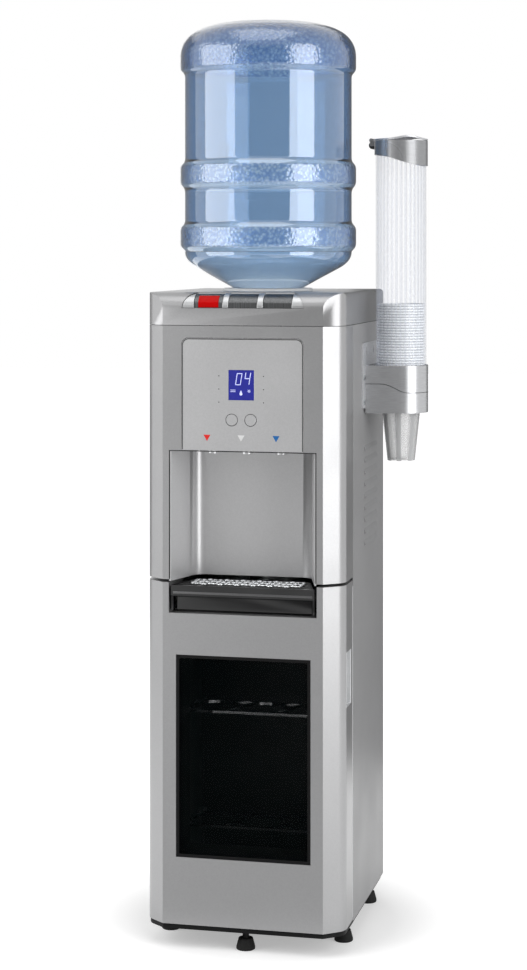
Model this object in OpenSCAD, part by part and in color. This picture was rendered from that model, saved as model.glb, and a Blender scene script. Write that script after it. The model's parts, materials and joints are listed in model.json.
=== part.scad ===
// Floor-standing bottle water cooler with a glazed bottle cabinet below and a cup dispenser on its side.
// Millimetres, +Z up, front towards -Y. The origin is on the floor, under the middle of the cabinet.

/* [Cabinet] */
// Width over the side panels
cab_w = 310; // [300:1:330]
// Depth over the front and the rear edges
cab_d = 354; // [346:1:380]
// Height of the top cover above the floor
cab_h = 1002; // [995:1:1030]
// Thickness of the steel sheet
sheet_t = 1.2; // [0.8:0.1:1.6]
// Wall of the moulded front pieces
moulding_t = 3; // [2.5:0.1:3.5]
// Gap between fixed pieces that lie side by side
fit_gap = 0.3; // [0.2:0.05:0.5]
// Inset of the back panel from the rear edges
back_in = 17; // [15:0.5:20]

/* [Front mouldings] */
// Depth of the front mouldings, from the front face to the seam on the sides
front_d = 85; // [82:0.5:92]
// Distance from the side to the crease of the front corner
crease_in = 30; // [27:0.5:33]
// Width of the flat corner bevel, seen from the front
bevel_w = 20; // [17:0.5:22]
// Depth of the flat corner bevel
bevel_d = 16; // [14:0.5:18]
// Height of the top cover
cover_h = 50; // [46:0.5:54]
// Depth of the rounded front edge of the top cover
brow_d = 27; // [25:0.5:30]
// Height of the rounded front edge of the top cover
brow_h = 24; // [21:0.5:26]
// Radius of the side edges of the top cover
cover_edge_r = 6; // [3:0.5:8]
// Seam between neighbouring outer pieces
seam = 0.8; // [0.5:0.1:0.95]
// Gap between the door and the housing above it
door_gap = 4.5; // [3.5:0.5:6]

/* [Door] */
// Height of the door
door_h = 521.5; // [515:0.5:530]
// Gap under the door
door_floor_gap = 1.5; // [1:0.1:2.5]
// Gap between the door's rear edge and the seam line
door_rear_gap = 2; // [1.5:0.1:3]
// Width of the window opening
win_w = 210; // [190:1:216]
// Height of the window opening
win_h = 309; // [280:1:320]
// Height of the window opening above the door's lower edge
win_sill = 102.5; // [90:0.5:110]
// Thickness of the glass
glass_t = 5; // [4:0.5:8]
// How far the glass reaches past the opening
glass_lap = 12; // [8:0.5:16]
// Width of the black frame in the window opening
trim_w = 5; // [3:0.5:8]
// Hinge axis from the left side
hinge_in = 6; // [5.5:0.1:7]
// Hinge axis from the door's rear edge
hinge_back = 9; // [8.5:0.1:11]
// Radius of the hinge pins
pin_r = 3; // [2.5:0.1:3.2]
// Running clearance round a pin or shaft
pin_play = 0.05; // [0.03:0.01:0.08]
// How far a hinge pin goes into the door
pin_len = 14; // [10:0.5:18]
// Bevel at the door's rear corner beside the hinge
hinge_bevel = 6; // [5:0.5:7]
// Thickness of the gasket, front to back
gasket_t = 3.6; // [3:0.1:3.9]
// Width of the gasket
gasket_w = 12; // [10:0.5:14]
// Height of the handle recess
handle_h = 85; // [70:1:100]
// Width of the handle recess
handle_w = 38; // [32:1:42]
// Depth of the handle recess
handle_d = 16; // [12:0.5:20]
// Height of the handle recess above the door's lower edge
handle_z = 334.5; // [300:0.5:360]

/* [Dispensing niche] */
// Width of the niche opening
niche_w = 230; // [220:1:240]
// Height of the niche above the housing's lower edge
niche_h = 197.5; // [180:0.5:205]
// Depth of the niche
niche_d = 80; // [74:0.5:84]
// Depth at which the side walls of the niche turn into its corner coves
niche_turn_d = 55; // [48:0.5:60]
// Inward splay of the side walls of the niche
niche_splay = 15.5; // [12:0.5:18]
// Width of the corner coves
cove_w = 20.5; // [16:0.5:24]
// Wall of the niche liner
niche_t = 2.2; // [1.8:0.1:2.4]
// Height of the niche ceiling above the lower edge of the control panel
ceiling_up = 11; // [8:0.5:14]

/* [Control panel] */
// Width of the control panel
panel_w = 190; // [180:1:200]
// Face of the housing left above the control panel
panel_brow = 18.7; // [12:0.1:30]
// Radius of its upper corners
panel_r = 11; // [6:0.5:16]
// Thickness of the control panel
panel_t = 3; // [2.5:0.1:3.5]
// Width of the display window
lcd_w = 40; // [34:0.5:46]
// Height of the display window
lcd_h = 46; // [40:0.5:50]
// Lower edge of the display window above the panel's lower edge
lcd_up = 77; // [72:0.5:82]
// Radius of the round buttons
button_r = 8.6; // [7:0.1:9.5]
// Distance between the round buttons
button_pitch = 29.5; // [26:0.5:34]
// Height of the round buttons above the panel's lower edge
button_up = 47; // [42:0.5:52]
// Travel of the round buttons
button_travel = 0.8; // [0.5:0.1:1]

/* [Tap keys] */
// Distance between the keys, and between the taps below them
key_pitch = 54; // [50:0.5:56]
// Width of a key
key_w = 44; // [40:0.5:46]
// Width of the recess that holds the keys
bay_w = 190; // [184:0.5:196]
// Gap between a key and its bay
key_gap = 0.5; // [0.4:0.05:0.7]
// Set-back of the keys from the front face
key_in = 4; // [3.6:0.1:5]
// Travel of the keys
key_travel = 5; // [3:0.5:6]
// Width of the red lock on the hot key
lock_w = 31.5; // [28:0.5:34]
// Travel of the red lock
lock_travel = 3; // [2:0.5:4]
// Radius of a tap spout
spout_r = 8; // [7:0.1:9]
// Distance of the taps from the front face
tap_in = 32; // [30:0.5:36]

/* [Drip tray] */
// Width of the drip tray
tray_w = 223.4; // [214:0.2:226]
// Height of the drip tray
tray_h = 39; // [34:0.5:44]
// Top of the tray below the top of the door
tray_drop = 4; // [3:0.5:6]
// Depth of the drip tray
tray_d = 77; // [72:0.5:78]
// Wall of the drip tray and its holder
tray_t = 2; // [1.6:0.1:2.4]
// Sliding gap round the tray
tray_gap = 0.6; // [0.4:0.1:0.8]
// Gap between the tray and the door's cut-out
notch_play = 3.8; // [3:0.1:5]
// Height of the tray's front lip
lip_h = 18; // [14:0.5:22]
// Depth of the finger recess under the lip
grip_d = 13; // [10:0.5:15]
// Thickness of the grate
grate_t = 3; // [2:0.5:4]
// Distance between the quatrefoils of the grate
foil_pitch = 21; // [20:0.5:24]
// Radius of one leaf of a quatrefoil
foil_r = 4; // [3:0.1:4.4]

/* [Base and feet] */
// Height of the base above the floor
foot_h = 30; // [27:0.5:36]
// Height of the base pan
pan_h = 6; // [5:0.5:8]
// Set-back of the base pan under the door
pan_in = 1.5; // [1:0.1:1.6]
// Radius of a foot on the floor
foot_r = 14.5; // [12:0.5:16]
// Radius of the top of a foot
foot_top_r = 11; // [9:0.5:12]
// Height of the rubber foot
rubber_h = 17; // [13:0.5:20]
// Radius of a foot's stud
stud_r = 5; // [4:0.1:5.5]
// Distance of the side feet from the sides
foot_in = 17; // [16.5:0.5:22]
// Distance of the front side feet from the front face
foot_front = 97; // [96:0.5:110]
// Distance of the rear feet from the rear edge
foot_rear = 50; // [40:0.5:60]
// Distance of the middle foot from the front face
foot_mid = 24; // [23:0.5:32]

/* [Bottle cabinet] */
// Width inside the liner
cavity_w = 244; // [230:1:250]
// Depth inside the liner
cavity_d = 138; // [120:1:140]
// Height of the liner floor above the base pan
cavity_up = 34; // [30:0.5:40]
// Height inside the liner
cavity_h = 416; // [400:1:420]
// Wall of the liner
liner_t = 2.5; // [2:0.1:3]
// Radius of the rings that hold the stored bottles
ring_r = 37; // [34:0.5:38]
// Width of the flat bars of the racks
bar_w = 4; // [3:0.5:5]

/* [Water bottle] */
// Radius of the bands of the bottle
bottle_r = 140; // [130:0.5:145]
// How far the smooth walls lie inside the bands
waist_in = 7; // [5:0.5:9]
// Height of the bottle above the top cover
bottle_h = 428; // [425:1:440]
// Radius of the bottle neck
neck_r = 27.5; // [25:0.5:29]
// Length of the bottle neck
neck_len = 56; // [50:1:60]
// Wall of the bottle
bottle_t = 2.5; // [2:0.1:3.5]
// Gap between the bottle and its seat
seat_gap = 0.35; // [0.3:0.05:0.6]
// Radius of the raised collar round the bottle
collar_r = 72; // [68:0.5:78]
// Height of the raised collar
collar_h = 4; // [2:0.5:6]

/* [Cup dispenser] */
// Radius of the clear tube
tube_r = 40.5; // [38:0.5:42]
// Wall of the clear tube
tube_t = 1.5; // [1.2:0.1:2]
// Top of the tube above the floor
tube_top = 1236; // [1200:1:1250]
// Distance of the tube's axis from the side panel
tube_out = 52.5; // [50:0.5:56]
// Distance of the tube's axis from the front face
tube_in = 219; // [200:1:230]
// Underside of the cup holder above the floor
holder_z0 = 809; // [800:1:815]
// Height of the cup holder
holder_h = 75; // [70:0.5:80]
// Wall of the steel cup holder and cap
steel_t = 1.5; // [1.2:0.1:2]
// Height of the cap on the tube, at its long side
cap_h = 40; // [36:0.5:46]
// Slant of the lower edge of the cap
cap_slant = 18; // [12:0.5:22]
// Width of the wall plate
plate_w = 125; // [112:1:130]
// Height of the wall plate
plate_h = 103; // [96:1:110]
// Radius of a cup at its rim
cup_rim_r = 37.5; // [36:0.1:37.7]
// Radius of a cup at its foot
cup_foot_r = 22; // [20:0.5:24]
// Height of a cup
cup_h = 130; // [124:0.5:136]
// Wall of a cup
cup_t = 0.9; // [0.7:0.1:1.2]
// Step between nested cups
cup_step = 6; // [5:0.5:8]
// Cups in the stack above the lowest one
cup_count = 20; // [8:1:26]

/* [Hidden] */
$fn = 64;
half_w = cab_w / 2;
y_front = -cab_d / 2;
y_back = cab_d / 2;
y_seam = y_front + front_d;
y_panel = y_back - back_in;
wall_x = half_w - sheet_t;
fit_x = wall_x - fit_gap;

// Heights, from the floor up
pan_z1 = foot_h + pan_h;
door_z0 = pan_z1 + door_floor_gap;
door_z1 = door_z0 + door_h;
housing_z0 = door_z1 + door_gap;
cover_z0 = cab_h - cover_h;
housing_z1 = cover_z0 - seam;
niche_z1 = housing_z0 + niche_h;
panel_gap = 0.5;
panel_z0 = niche_z1 + panel_gap;
panel_z1 = housing_z1 - panel_brow;
ceiling_z = niche_z1 + ceiling_up;
liner_foot_gap = 2.5;
niche_z0 = housing_z0 - liner_foot_gap;
tray_z1 = door_z1 - tray_drop;
tray_z0 = tray_z1 - tray_h;
floor_z = tray_z0 - tray_gap - tray_t;
lip_t = 5;
cheek_t = 3;
notch_z = floor_z - 1;
deck_z = floor_z;
side_lap = 2;
holder_drop = 6;

// Front corner of the mouldings: a flat bevel, then an arc into the side
bevel_len = norm([bevel_w, bevel_d]);
bevel_dir = [bevel_w, bevel_d] / bevel_len;
bevel_in = [-bevel_dir[1], bevel_dir[0]];
bevel_end = [half_w - crease_in + bevel_w, y_front + bevel_d];
corner_r = (half_w - bevel_end[0]) / (1 - bevel_dir[1]);
corner_c = bevel_end + corner_r * bevel_in;
corner_a = atan2(-bevel_in[1], -bevel_in[0]);
arc_steps = 8;

// Door and hinge
door_y1 = y_seam - door_rear_gap;
hinge_x = -half_w + hinge_in;
hinge_y = door_y1 - hinge_back;
hinge_boss_r = 5.5;
hinge_plate_x = [-2.5, 26];
hinge_plate_y = [-8, 10];
hinge_plate_t = 3;
notch_half = tray_w / 2 + notch_play;
relief_r = norm([notch_half - hinge_x, y_front - hinge_y]);
win_x = 1;
win_z0 = door_z0 + win_sill;
glass_y0 = y_front + moulding_t;
glass_y1 = glass_y0 + glass_t;
tunnel_t = 2.5;
handle_y0 = y_front + 32;
plate_t = 2.5;

// Bottle cabinet
face_y = y_seam + 2;
cavity_z0 = pan_z1 + cavity_up;
cavity_z1 = cavity_z0 + cavity_h;
cavity_y1 = face_y + cavity_d;
gasket_x = cavity_w / 2 + 6;
ledge_up = [90, 270];
ledge_w = 9;
ledge_h = 5;
evaporator_t = 3;

// Control panel
lcd_x = -1.5;
board_up = 8;
board_y = y_front + panel_t + board_up;
board_t = 1.6;
standoff_x = 52;
standoff_r = 3;
standoff_up = [30, 136];
standoff_z = [panel_z0 + standoff_up[0], panel_z0 + standoff_up[1]];
board_edge = 7;
module_edge = 4;
button_x = [lcd_x - button_pitch / 2, lcd_x + button_pitch / 2];
button_z = panel_z0 + button_up;
button_out = 0.6;
lcd_z0 = panel_z0 + lcd_up;

// Keys, taps and bottle seat
lock_d = 9;
lock_y1 = y_front + key_in + lock_d;
bay_z0 = cab_h - brow_h;
bay_d = brow_d + 1;
bay_r = brow_h + 0.5;
bezel_in = 1.2;
key_form_in = 2.2;
key_x = [-key_pitch, 0, key_pitch];
key_z0 = bay_z0 - 16;
key_y1 = y_front + bay_d - 3;
lock_form_in = 1.4;
rod_r = 3;
rod_in = 21;
valve_r = 12;
valve_h = 26;
spout_drop = 6;
stem_h = 6;
rod_z0 = ceiling_z + niche_t + valve_h + stem_h + key_travel + 0.5;
inlet_z = ceiling_z + niche_t + 14;
inlet_y = y_front + tap_in + valve_r + 6;
// Bands of the bottle: depths below its crown at which each one starts, stands out and ends
low_band = [366, 358, 328, 320];
mid_band = [268, 259, 230, 222];
top_band = [85, 78, 55];

// Shoulder and crown of the bottle
shoulder_r = 21;
shoulder_rise = 24;
shoulder_gap = 3;
shoulder_drop = low_band[0] + shoulder_gap;
shoulder_h = shoulder_drop + shoulder_rise;
crown_r = 46;
crown_h = 44;
crown_flat = [54, 30];

cone_z = cab_h - 11;
well_r = 38;
well_t = 3;
well_depth = 97;
well_z0 = cab_h - well_depth;
well_fall = 6;
collar_draft = 2;
bottle_y = 0;
collar_lap = 6;
probe_r = 7;
probe_tip_r = 3;
probe_foot = 5;
probe_foot_h = 7;
probe_in = 12;
probe_tip_h = 8;
neck_z0 = cone_z - neck_len;
bottle_z1 = cab_h + bottle_h;
cone_top_r = bottle_r - waist_in - shoulder_r;
cone_slope = (cone_top_r - neck_r) / (bottle_z1 - shoulder_h - cone_z);
cold_tank_r = 78;
cold_tank_z0 = 690;
hot_tank_r = 50;
hot_tank_gap = 18;
hot_tank_y = y_panel - hot_tank_r - hot_tank_gap;
tank_t = 1.2;
hot_tank_z1 = 668;
pipe_r = 4;
nipple_x = 25;
nipple_out = 8;
nipple_len = 30;
tank_edge = 20;
tank_neck_r = 30;
tank_neck_h = 24;
hot_tank_edge = 15;
hot_pipe_z = hot_tank_z1 - 40;
drain_root = 10;

// Cup dispenser
tube_x = half_w + tube_out;
tube_y = y_front + tube_in;
holder_z1 = holder_z0 + holder_h;
holder_r = tube_r + 1 + steel_t;
plate_x = half_w;
bracket_t = 2.5;
keyhole_r = 4.5;
seam_up = 39;
seam_rise = 7;
seam_in = -24;
seam_run = 44;
shelf_z = holder_z0 + 20;
shelf_t = 3;
cap_gap = 0.4;
cap_r = tube_r + cap_gap + steel_t;
cap_z1 = tube_top + 4;
cap_z0 = cap_z1 - cap_h;
lid_axis = [tube_x - cap_r - 4, cap_z1 + 1];
lid_pin_r = 1.6;
knuckle_r = 3.2;
knuckle_w = 5;
knuckle_y = 9;
lid_gap = 0.5;
lid_t = 2.5;
lid_wave = 5;
cup_show = 77;
cup_z0 = holder_z0 - cup_show;
cup_z1 = cup_z0 + cup_h;
sleeve_t = 0.9;
cup_gap = 0.4;
nest_gap = 0.6;
rim_w = 2;
stack_t = 1.5;
stack_z1 = cup_z1 + cup_step * cup_count;

// Back of the cabinet
condenser_y = y_panel + 7;
condenser_r = 2.5;
run_x = 118;
run_pitch = 44;
run_count = 9;
run_z0 = 122;
wire_w = 1.6;
wire_pitch = 17;
switch_z = 905;
rocker_tilt = 9;
switch_x = 34;
switch_w = 16;
switch_h = 24;
drain_z = deck_z + sheet_t + 16;
drain_r = 6;
stub_out = 14;

// Compressor in the room between the evaporator and the back panel
compressor_gap = 2.25;
belt_out = 3;
belt_z = [88, 94];
compressor_y0 = cavity_y1 + liner_t + evaporator_t;
compressor_y = (compressor_y0 + y_panel) / 2;
compressor_r = (y_panel - compressor_y0) / 2 - compressor_gap - belt_out;
compressor_up = 14;
compressor_h = 152;
dome_flat = 14;
sole_flat = 26;
leg_in = 8;
leg_w = 12;
leg_h = 40;
base_out = 22;
base_t = 3;
discharge_h = 62;
discharge_r = 3;
discharge_out = 14;
inlet_x = -105;
inlet_h = 62;
gland_r = 9;
gland_bore_r = 4.5;
gland_in = 12;
screw_r = 1.8;
screw_head_r = 4;
screw_head_h = 2;
hole_r = screw_r + 0.2;
flange_w = 14;
screw_rows = [80, 290, 500, 710, 920];
bracket_screw_z = [holder_z0 + 18, holder_z0 + 56];
bracket_screw_y = [tube_y - 54, tube_y + 54];
louvre_n = 9;
louvre_pitch = 18.7;
louvre_in = 178;
louvre_y0 = y_front + louvre_in;
louvre_w = 108;
louvre_h = 7;
louvre_z0 = 600;
louvre_out = 3;
blade_t = 1;
vent_n = 6;
vent_pitch = 26;
vent_x = 62;
vent_z0 = 620;
vent_w = 90;
vent_h = 6;
foot_y = [y_front + foot_front, y_back - foot_rear];
foot_x = half_w - foot_in;
feet = [[-foot_x, foot_y[0]], [foot_x, foot_y[0]], [-foot_x, foot_y[1]], [foot_x, foot_y[1]],
        [0, y_front + foot_mid]];
nut_h = 4;
nut_r = 9;

// Points along an arc, and along part of an ellipse with two radii
function arc(c, r, a0, a1, n = arc_steps) = oval(c, r, r, a0, a1, n);
function oval(c, rx, ry, a0, a1, n = arc_steps) =
    [for (i = [0:n]) let (a = a0 + (a1 - a0) * i / n) [c[0] + rx * cos(a), c[1] + ry * sin(a)]];
// Mirror image of a row of points, in reverse order
function flip(pts) = [for (i = [len(pts) - 1:-1:0]) [-pts[i][0], pts[i][1]]];
// Right half of the front outline, moved inwards by t
function front_half(t) =
    let (p = bevel_end + t * bevel_in, s = (p[1] - y_front - t) / bevel_dir[1])
    concat([p - s * bevel_dir], arc(corner_c, corner_r - t, corner_a, 0));
function front_plan(t, y1) =
    concat([[-half_w + t, y1]], flip(front_half(t)), front_half(t), [[half_w - t, y1]]);
// Right half of the niche outline, moved outwards by t
function niche_half(t, y0) =
    let (x0 = niche_w / 2 - 2.5, x1 = x0 - niche_splay)
    concat([[x0 + t, y0], [x1 + t, y_front + niche_turn_d]],
        oval([x1 - cove_w, y_front + niche_turn_d], cove_w + t, niche_d - niche_turn_d + t, 0, 90));
function niche_plan(t, y0) = concat(flip(niche_half(t, y0)), niche_half(t, y0));
// Right half of the drip tray outline, moved inwards by t
function tray_half(t, y0) =
    let (x0 = tray_w / 2, x1 = x0 - niche_splay, s = (y0 - y_front) / niche_turn_d)
    concat([[x0 - niche_splay * s - t, y0], [x1 - t, y_front + niche_turn_d]],
        oval([x1 - cove_w, y_front + niche_turn_d], cove_w - t, tray_d - niche_turn_d - t, 0, 90));
function tray_plan(t, y0) = concat(flip(tray_half(t, y0)), tray_half(t, y0));

module along_x(x0, x1) { translate([x0, 0, 0]) rotate([90, 0, 90]) linear_extrude(x1 - x0) children(); }
module along_y(y0, y1) { translate([0, y1, 0]) rotate([90, 0, 0]) linear_extrude(y1 - y0) children(); }
module box(p, q) { translate(p) cube(q - p); }
module slab(z0, z1) { translate([0, 0, z0]) linear_extrude(z1 - z0) children(); }
module post(p, r, h) { translate(p) cylinder(r = r, h = h); }
module post_y(p, r, h) { translate(p) rotate([-90, 0, 0]) cylinder(r = r, h = h); }
module post_x(p, r, h) { translate(p) rotate([0, 90, 0]) cylinder(r = r, h = h); }
// Straight round rod between two points, and a bent pipe through several
module rod(p, q, r) {
    d = q - p;
    translate(p) rotate([0, acos(d[2] / norm(d)), atan2(d[1], d[0])]) cylinder(r = r, h = norm(d));
}
module pipe(pts, r) {
    for (i = [1:len(pts) - 1]) rod(pts[i - 1], pts[i], r);
    for (i = [1:len(pts) - 2]) translate(pts[i]) sphere(r = r);
}
module rounded_rect(p, q, r) {
    polygon(concat(arc([q[0] - r, q[1] - r], r, 0, 90), arc([p[0] + r, q[1] - r], r, 90, 180),
        arc([p[0] + r, p[1] + r], r, 180, 270), arc([q[0] - r, p[1] + r], r, 270, 360)));
}

// Pressed pan under the cabinet, reaching forward beneath the door
module pan_outline(t) {
    polygon(front_plan(pan_in + t, y_seam + 1));
    polygon([[-fit_x + t, y_seam + seam + t], [fit_x - t, y_seam + seam + t], [fit_x - t, y_panel - t],
        [-fit_x + t, y_panel - t]]);
}
module base_plate() {
    color("#1c1c1e") difference() {
        slab(foot_h, pan_z1) pan_outline(0);
        slab(foot_h + sheet_t, pan_z1 + 1) pan_outline(sheet_t);
        for (f = feet) post([f[0], f[1], foot_h - 1], stud_r + pin_play, pan_h);
    }
}

// Outer side sheet with pressed louvres and a rear flange for the back panel
module side_sheet() {
    lip = y_panel - sheet_t;
    lip_x = half_w + louvre_out;
    hood = [[wall_x, blade_t], [half_w, blade_t], [lip_x, blade_t - louvre_h], [lip_x, -louvre_h]];
    blade = concat(hood, [[lip_x - blade_t, -louvre_h], [wall_x, 0]]);
    cheek = concat(hood, [[wall_x, -louvre_h]]);
    y1 = louvre_y0 + louvre_w;
    difference() {
        union() {
            box([wall_x, y_seam + seam, pan_z1 - side_lap], [half_w, y_back, cover_z0 - seam]);
            box([wall_x - flange_w, lip, pan_z1 + 1], [wall_x + 0.1, y_panel, cover_z0 - seam]);
        }
        for (i = [0:louvre_n - 1]) translate([0, 0, louvre_z0 + i * louvre_pitch])
            box([wall_x - 1, louvre_y0, 0], [half_w + 1, y1, louvre_h]);
        for (z = screw_rows) post_y([wall_x - flange_w / 2, lip - 1, z], hole_r, sheet_t + 2);
    }
    for (i = [0:louvre_n - 1]) translate([0, 0, louvre_z0 + i * louvre_pitch + louvre_h])
        union() {
            along_y(louvre_y0, y1) polygon(blade);
            for (y = [louvre_y0, y1 - blade_t]) along_y(y, y + blade_t) polygon(cheek);
        }
}
module side_panel_left() { color("#8f8f90") mirror([1, 0, 0]) side_sheet(); }
module side_panel_right() {
    color("#8f8f90") difference() {
        side_sheet();
        for (y = bracket_screw_y, z = bracket_screw_z) post_x([wall_x - 1, y, z], hole_r, sheet_t + 2);
    }
}
module back_panel() {
    top = cover_z0 - seam;
    color("#77797b") difference() {
        box([-fit_x, y_panel, pan_z1 + 1], [fit_x, y_panel + sheet_t, top]);
        for (s = [-1, 1], z = screw_rows) post_y([s * (wall_x - flange_w / 2), y_panel - 1, z], hole_r, 4);
        for (s = [-1, 1]) translate([s * switch_x, 0, switch_z])
            box([-switch_w / 2, y_panel - 1, -switch_h / 2], [switch_w / 2, y_panel + 3, switch_h / 2]);
        for (i = [0:vent_n - 1], s = [-1, 1]) translate([s * vent_x, 0, vent_z0 + i * vent_pitch])
            box([-vent_w / 2, y_panel - 1, 0], [vent_w / 2, y_panel + 3, vent_h]);
        post_y([0, y_panel - 1, drain_z], drain_r + fit_gap, 4);
        post_y([run_x, y_panel - 1, run_z0], condenser_r + 1, 4);
        post_y([inlet_x, y_panel - 1, inlet_h], gland_r + fit_gap, 4);
    }
}
// Sheet that parts the bottle cabinet from the water tanks
module deck_plate() {
    tongue = 70;
    rear = y_front + tray_d;
    color("#a9abad") {
        box([-fit_x, face_y + 1, deck_z], [fit_x, y_panel - sheet_t - fit_gap, deck_z + sheet_t]);
        box([-tongue, rear, deck_z], [tongue, face_y + 2, deck_z + sheet_t]);
        box([-tongue, rear, deck_z], [tongue, rear + sheet_t, tray_z1 - holder_drop]);
    }
}

// Top cover: one outline rounded over the front edge and along both sides
module cover_form(t, z0) {
    brow = oval([y_front + brow_d, cab_h - brow_h], brow_d - t, brow_h - t, 180, 90);
    edge_c = [half_w - cover_edge_r, cab_h - cover_edge_r];
    edge = arc(edge_c, cover_edge_r - min(t, cover_edge_r - 1), 0, 90, 4);
    intersection() {
        slab(z0, cab_h - t) polygon(front_plan(t, y_back - t));
        along_x(-half_w, half_w)
            polygon(concat([[y_back, z0 - 1], [y_front + t, z0 - 1]], brow, [[y_back, cab_h - t]]));
        along_y(y_front, y_back)
            polygon(concat([[half_w - t, z0 - 1]], edge, flip(edge), [[-half_w + t, z0 - 1]]));
    }
}
module bay_outline(t) {
    x = bay_w / 2 - bay_r;
    corner = arc([x, bay_z0 + t], bay_r - t, 0, 90);
    polygon(concat(corner, flip(corner)));
}
module top_cover() {
    color("#9b9b9b") difference() {
        cover_form(0, cover_z0);
        cover_form(moulding_t, cover_z0 - 2);
        along_y(y_front - 1, y_front + bay_d) bay_outline(0);
        post([0, bottle_y, cab_h - moulding_t - 1], collar_r - collar_lap, moulding_t + 2);
    }
}
module key_bezel() {
    color("#d5d6d7") difference() {
        intersection() {
            cover_form(bezel_in, cover_z0);
            along_y(y_front, y_front + bay_d - fit_gap) bay_outline(fit_gap);
        }
        for (x = key_x) box([x - key_w / 2 - key_gap, y_front - 1, bay_z0 - 1],
            [x + key_w / 2 + key_gap, key_y1 + key_gap, cab_h + 1]);
    }
}

// Upper front housing: the corner outline as a shell, open for the niche and the control panel
module panel_outline(t) {
    x = panel_w / 2 + t;
    z1 = panel_z1 + t;
    corner = arc([x - panel_r, z1 - panel_r], panel_r, 0, 90);
    polygon(concat([[-x, panel_z0 - t], [x, panel_z0 - t]], corner, flip(corner)));
}
module upper_housing() {
    color("#a2a2a2") difference() {
        slab(housing_z0, housing_z1) polygon(front_plan(0, y_seam));
        slab(housing_z0 + moulding_t, housing_z1 + 1) polygon(front_plan(moulding_t, y_seam + 1));
        box([-niche_w / 2, y_front - 1, housing_z0 - 1], [niche_w / 2, y_seam + 1, niche_z1]);
        along_y(y_front - 1, y_front + moulding_t + 1) panel_outline(panel_gap);
        post([hinge_x, hinge_y, housing_z0 - 1], pin_r + fit_gap, moulding_t + 2);
    }
}
module niche_liner() {
    front = y_front + 0.5;
    hang = panel_t + 3;
    color("#c9cacb") difference() {
        union() {
            slab(niche_z0, ceiling_z) difference() {
                polygon(niche_plan(niche_t, front));
                polygon(niche_plan(0, front - 1));
            }
            slab(ceiling_z, ceiling_z + niche_t) polygon(niche_plan(niche_t, y_front + hang));
        }
        for (x = key_x) post([x, y_front + tap_in, ceiling_z - 1], spout_r + fit_gap, niche_t + 2);
        box([-half_w, y_front - 1, niche_z1 - fit_gap], [half_w, y_front + hang, ceiling_z + niche_t + 1]);
    }
}

// Control panel with its display, board and round buttons
module control_panel() {
    color("#b4b4b5") {
        difference() {
            along_y(y_front, y_front + panel_t) panel_outline(0);
            box([lcd_x - lcd_w / 2, y_front - 1, lcd_z0],
                [lcd_x + lcd_w / 2, y_front + panel_t + 1, lcd_z0 + lcd_h]);
            for (x = button_x) post_y([x, y_front - 1, button_z], button_r + fit_gap / 2, panel_t + 2);
        }
        for (s = [-1, 1], z = standoff_z)
            post_y([s * standoff_x, y_front + panel_t - 0.5, z], standoff_r, board_up + 0.5);
    }
}
module lcd_lens() {
    g = fit_gap / 2;
    color("#3a3fae") box([lcd_x - lcd_w / 2 + g, y_front + 0.2, lcd_z0 + g],
        [lcd_x + lcd_w / 2 - g, y_front + panel_t, lcd_z0 + lcd_h - g]);
}
module control_board() {
    color("#23603c") {
        box([-standoff_x - board_edge, board_y, standoff_z[0] - board_edge],
            [standoff_x + board_edge, board_y + board_t, standoff_z[1] + board_edge]);
        box([lcd_x - lcd_w / 2 - module_edge, y_front + panel_t, lcd_z0 - module_edge],
            [lcd_x + lcd_w / 2 + module_edge, board_y, lcd_z0 + lcd_h + module_edge]);
    }
}
module round_button(x) {
    tail = board_up - button_travel - fit_gap;
    color("#b9babb") translate([x, 0, button_z]) {
        post_y([0, y_front - button_out, 0], button_r, panel_t + button_out + fit_gap + 1);
        post_y([0, y_front + panel_t + fit_gap, 0], button_r + 1.2, 1.2);
        post_y([0, y_front + panel_t, 0], standoff_r, tail);
    }
}
module button_left() { round_button(button_x[0]); }
module button_right() { round_button(button_x[1]); }

// Tap keys: the cover's brow shape, set back, each with a push rod down to its tap
module key_body(x) {
    intersection() {
        cover_form(key_form_in, cover_z0);
        box([x - key_w / 2, y_front + key_in, key_z0], [x + key_w / 2, key_y1, cab_h]);
    }
    post([x, y_front + rod_in, rod_z0], rod_r, key_z0 - rod_z0 + 1);
}
module lock_block(g, y1) {
    x = key_x[0];
    box([x - lock_w / 2 - g, y_front, bay_z0 + 1 - g], [x + lock_w / 2 + g, y1, cab_h + 1]);
}
module key_hot() {
    color("#8d8e90") difference() {
        key_body(key_x[0]);
        lock_block(fit_gap, lock_y1 + lock_travel + fit_gap);
    }
}
module hot_lock() {
    color("#dd0000") intersection() {
        cover_form(lock_form_in, cover_z0);
        lock_block(0, lock_y1);
        box([-half_w, y_front + key_in - 0.5, bay_z0], [half_w, lock_y1, cab_h]);
    }
}
module key_room() { color("#6f7173") key_body(key_x[1]); }
module key_cold() { color("#6f7173") key_body(key_x[2]); }

// Three taps that hang through the niche ceiling
module tap(x) {
    z0 = ceiling_z + niche_t;
    y = y_front + tap_in;
    difference() {
        union() {
            post([x, y, z0], valve_r, valve_h);
            post([x, y, niche_z1 - spout_drop], spout_r, z0 + 1 - niche_z1 + spout_drop);
            post([x, y_front + rod_in, z0 + valve_h - 1], rod_r - 0.5, stem_h + 1);
            post_y([x, y + valve_r - 3, inlet_z], pipe_r + 1, inlet_y - y - valve_r + 3);
        }
        post([x, y, niche_z1 - spout_drop - 1], spout_r - 2, 16);
    }
}
module taps() { color("#c8cacc") for (x = key_x) tap(x); }

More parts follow.
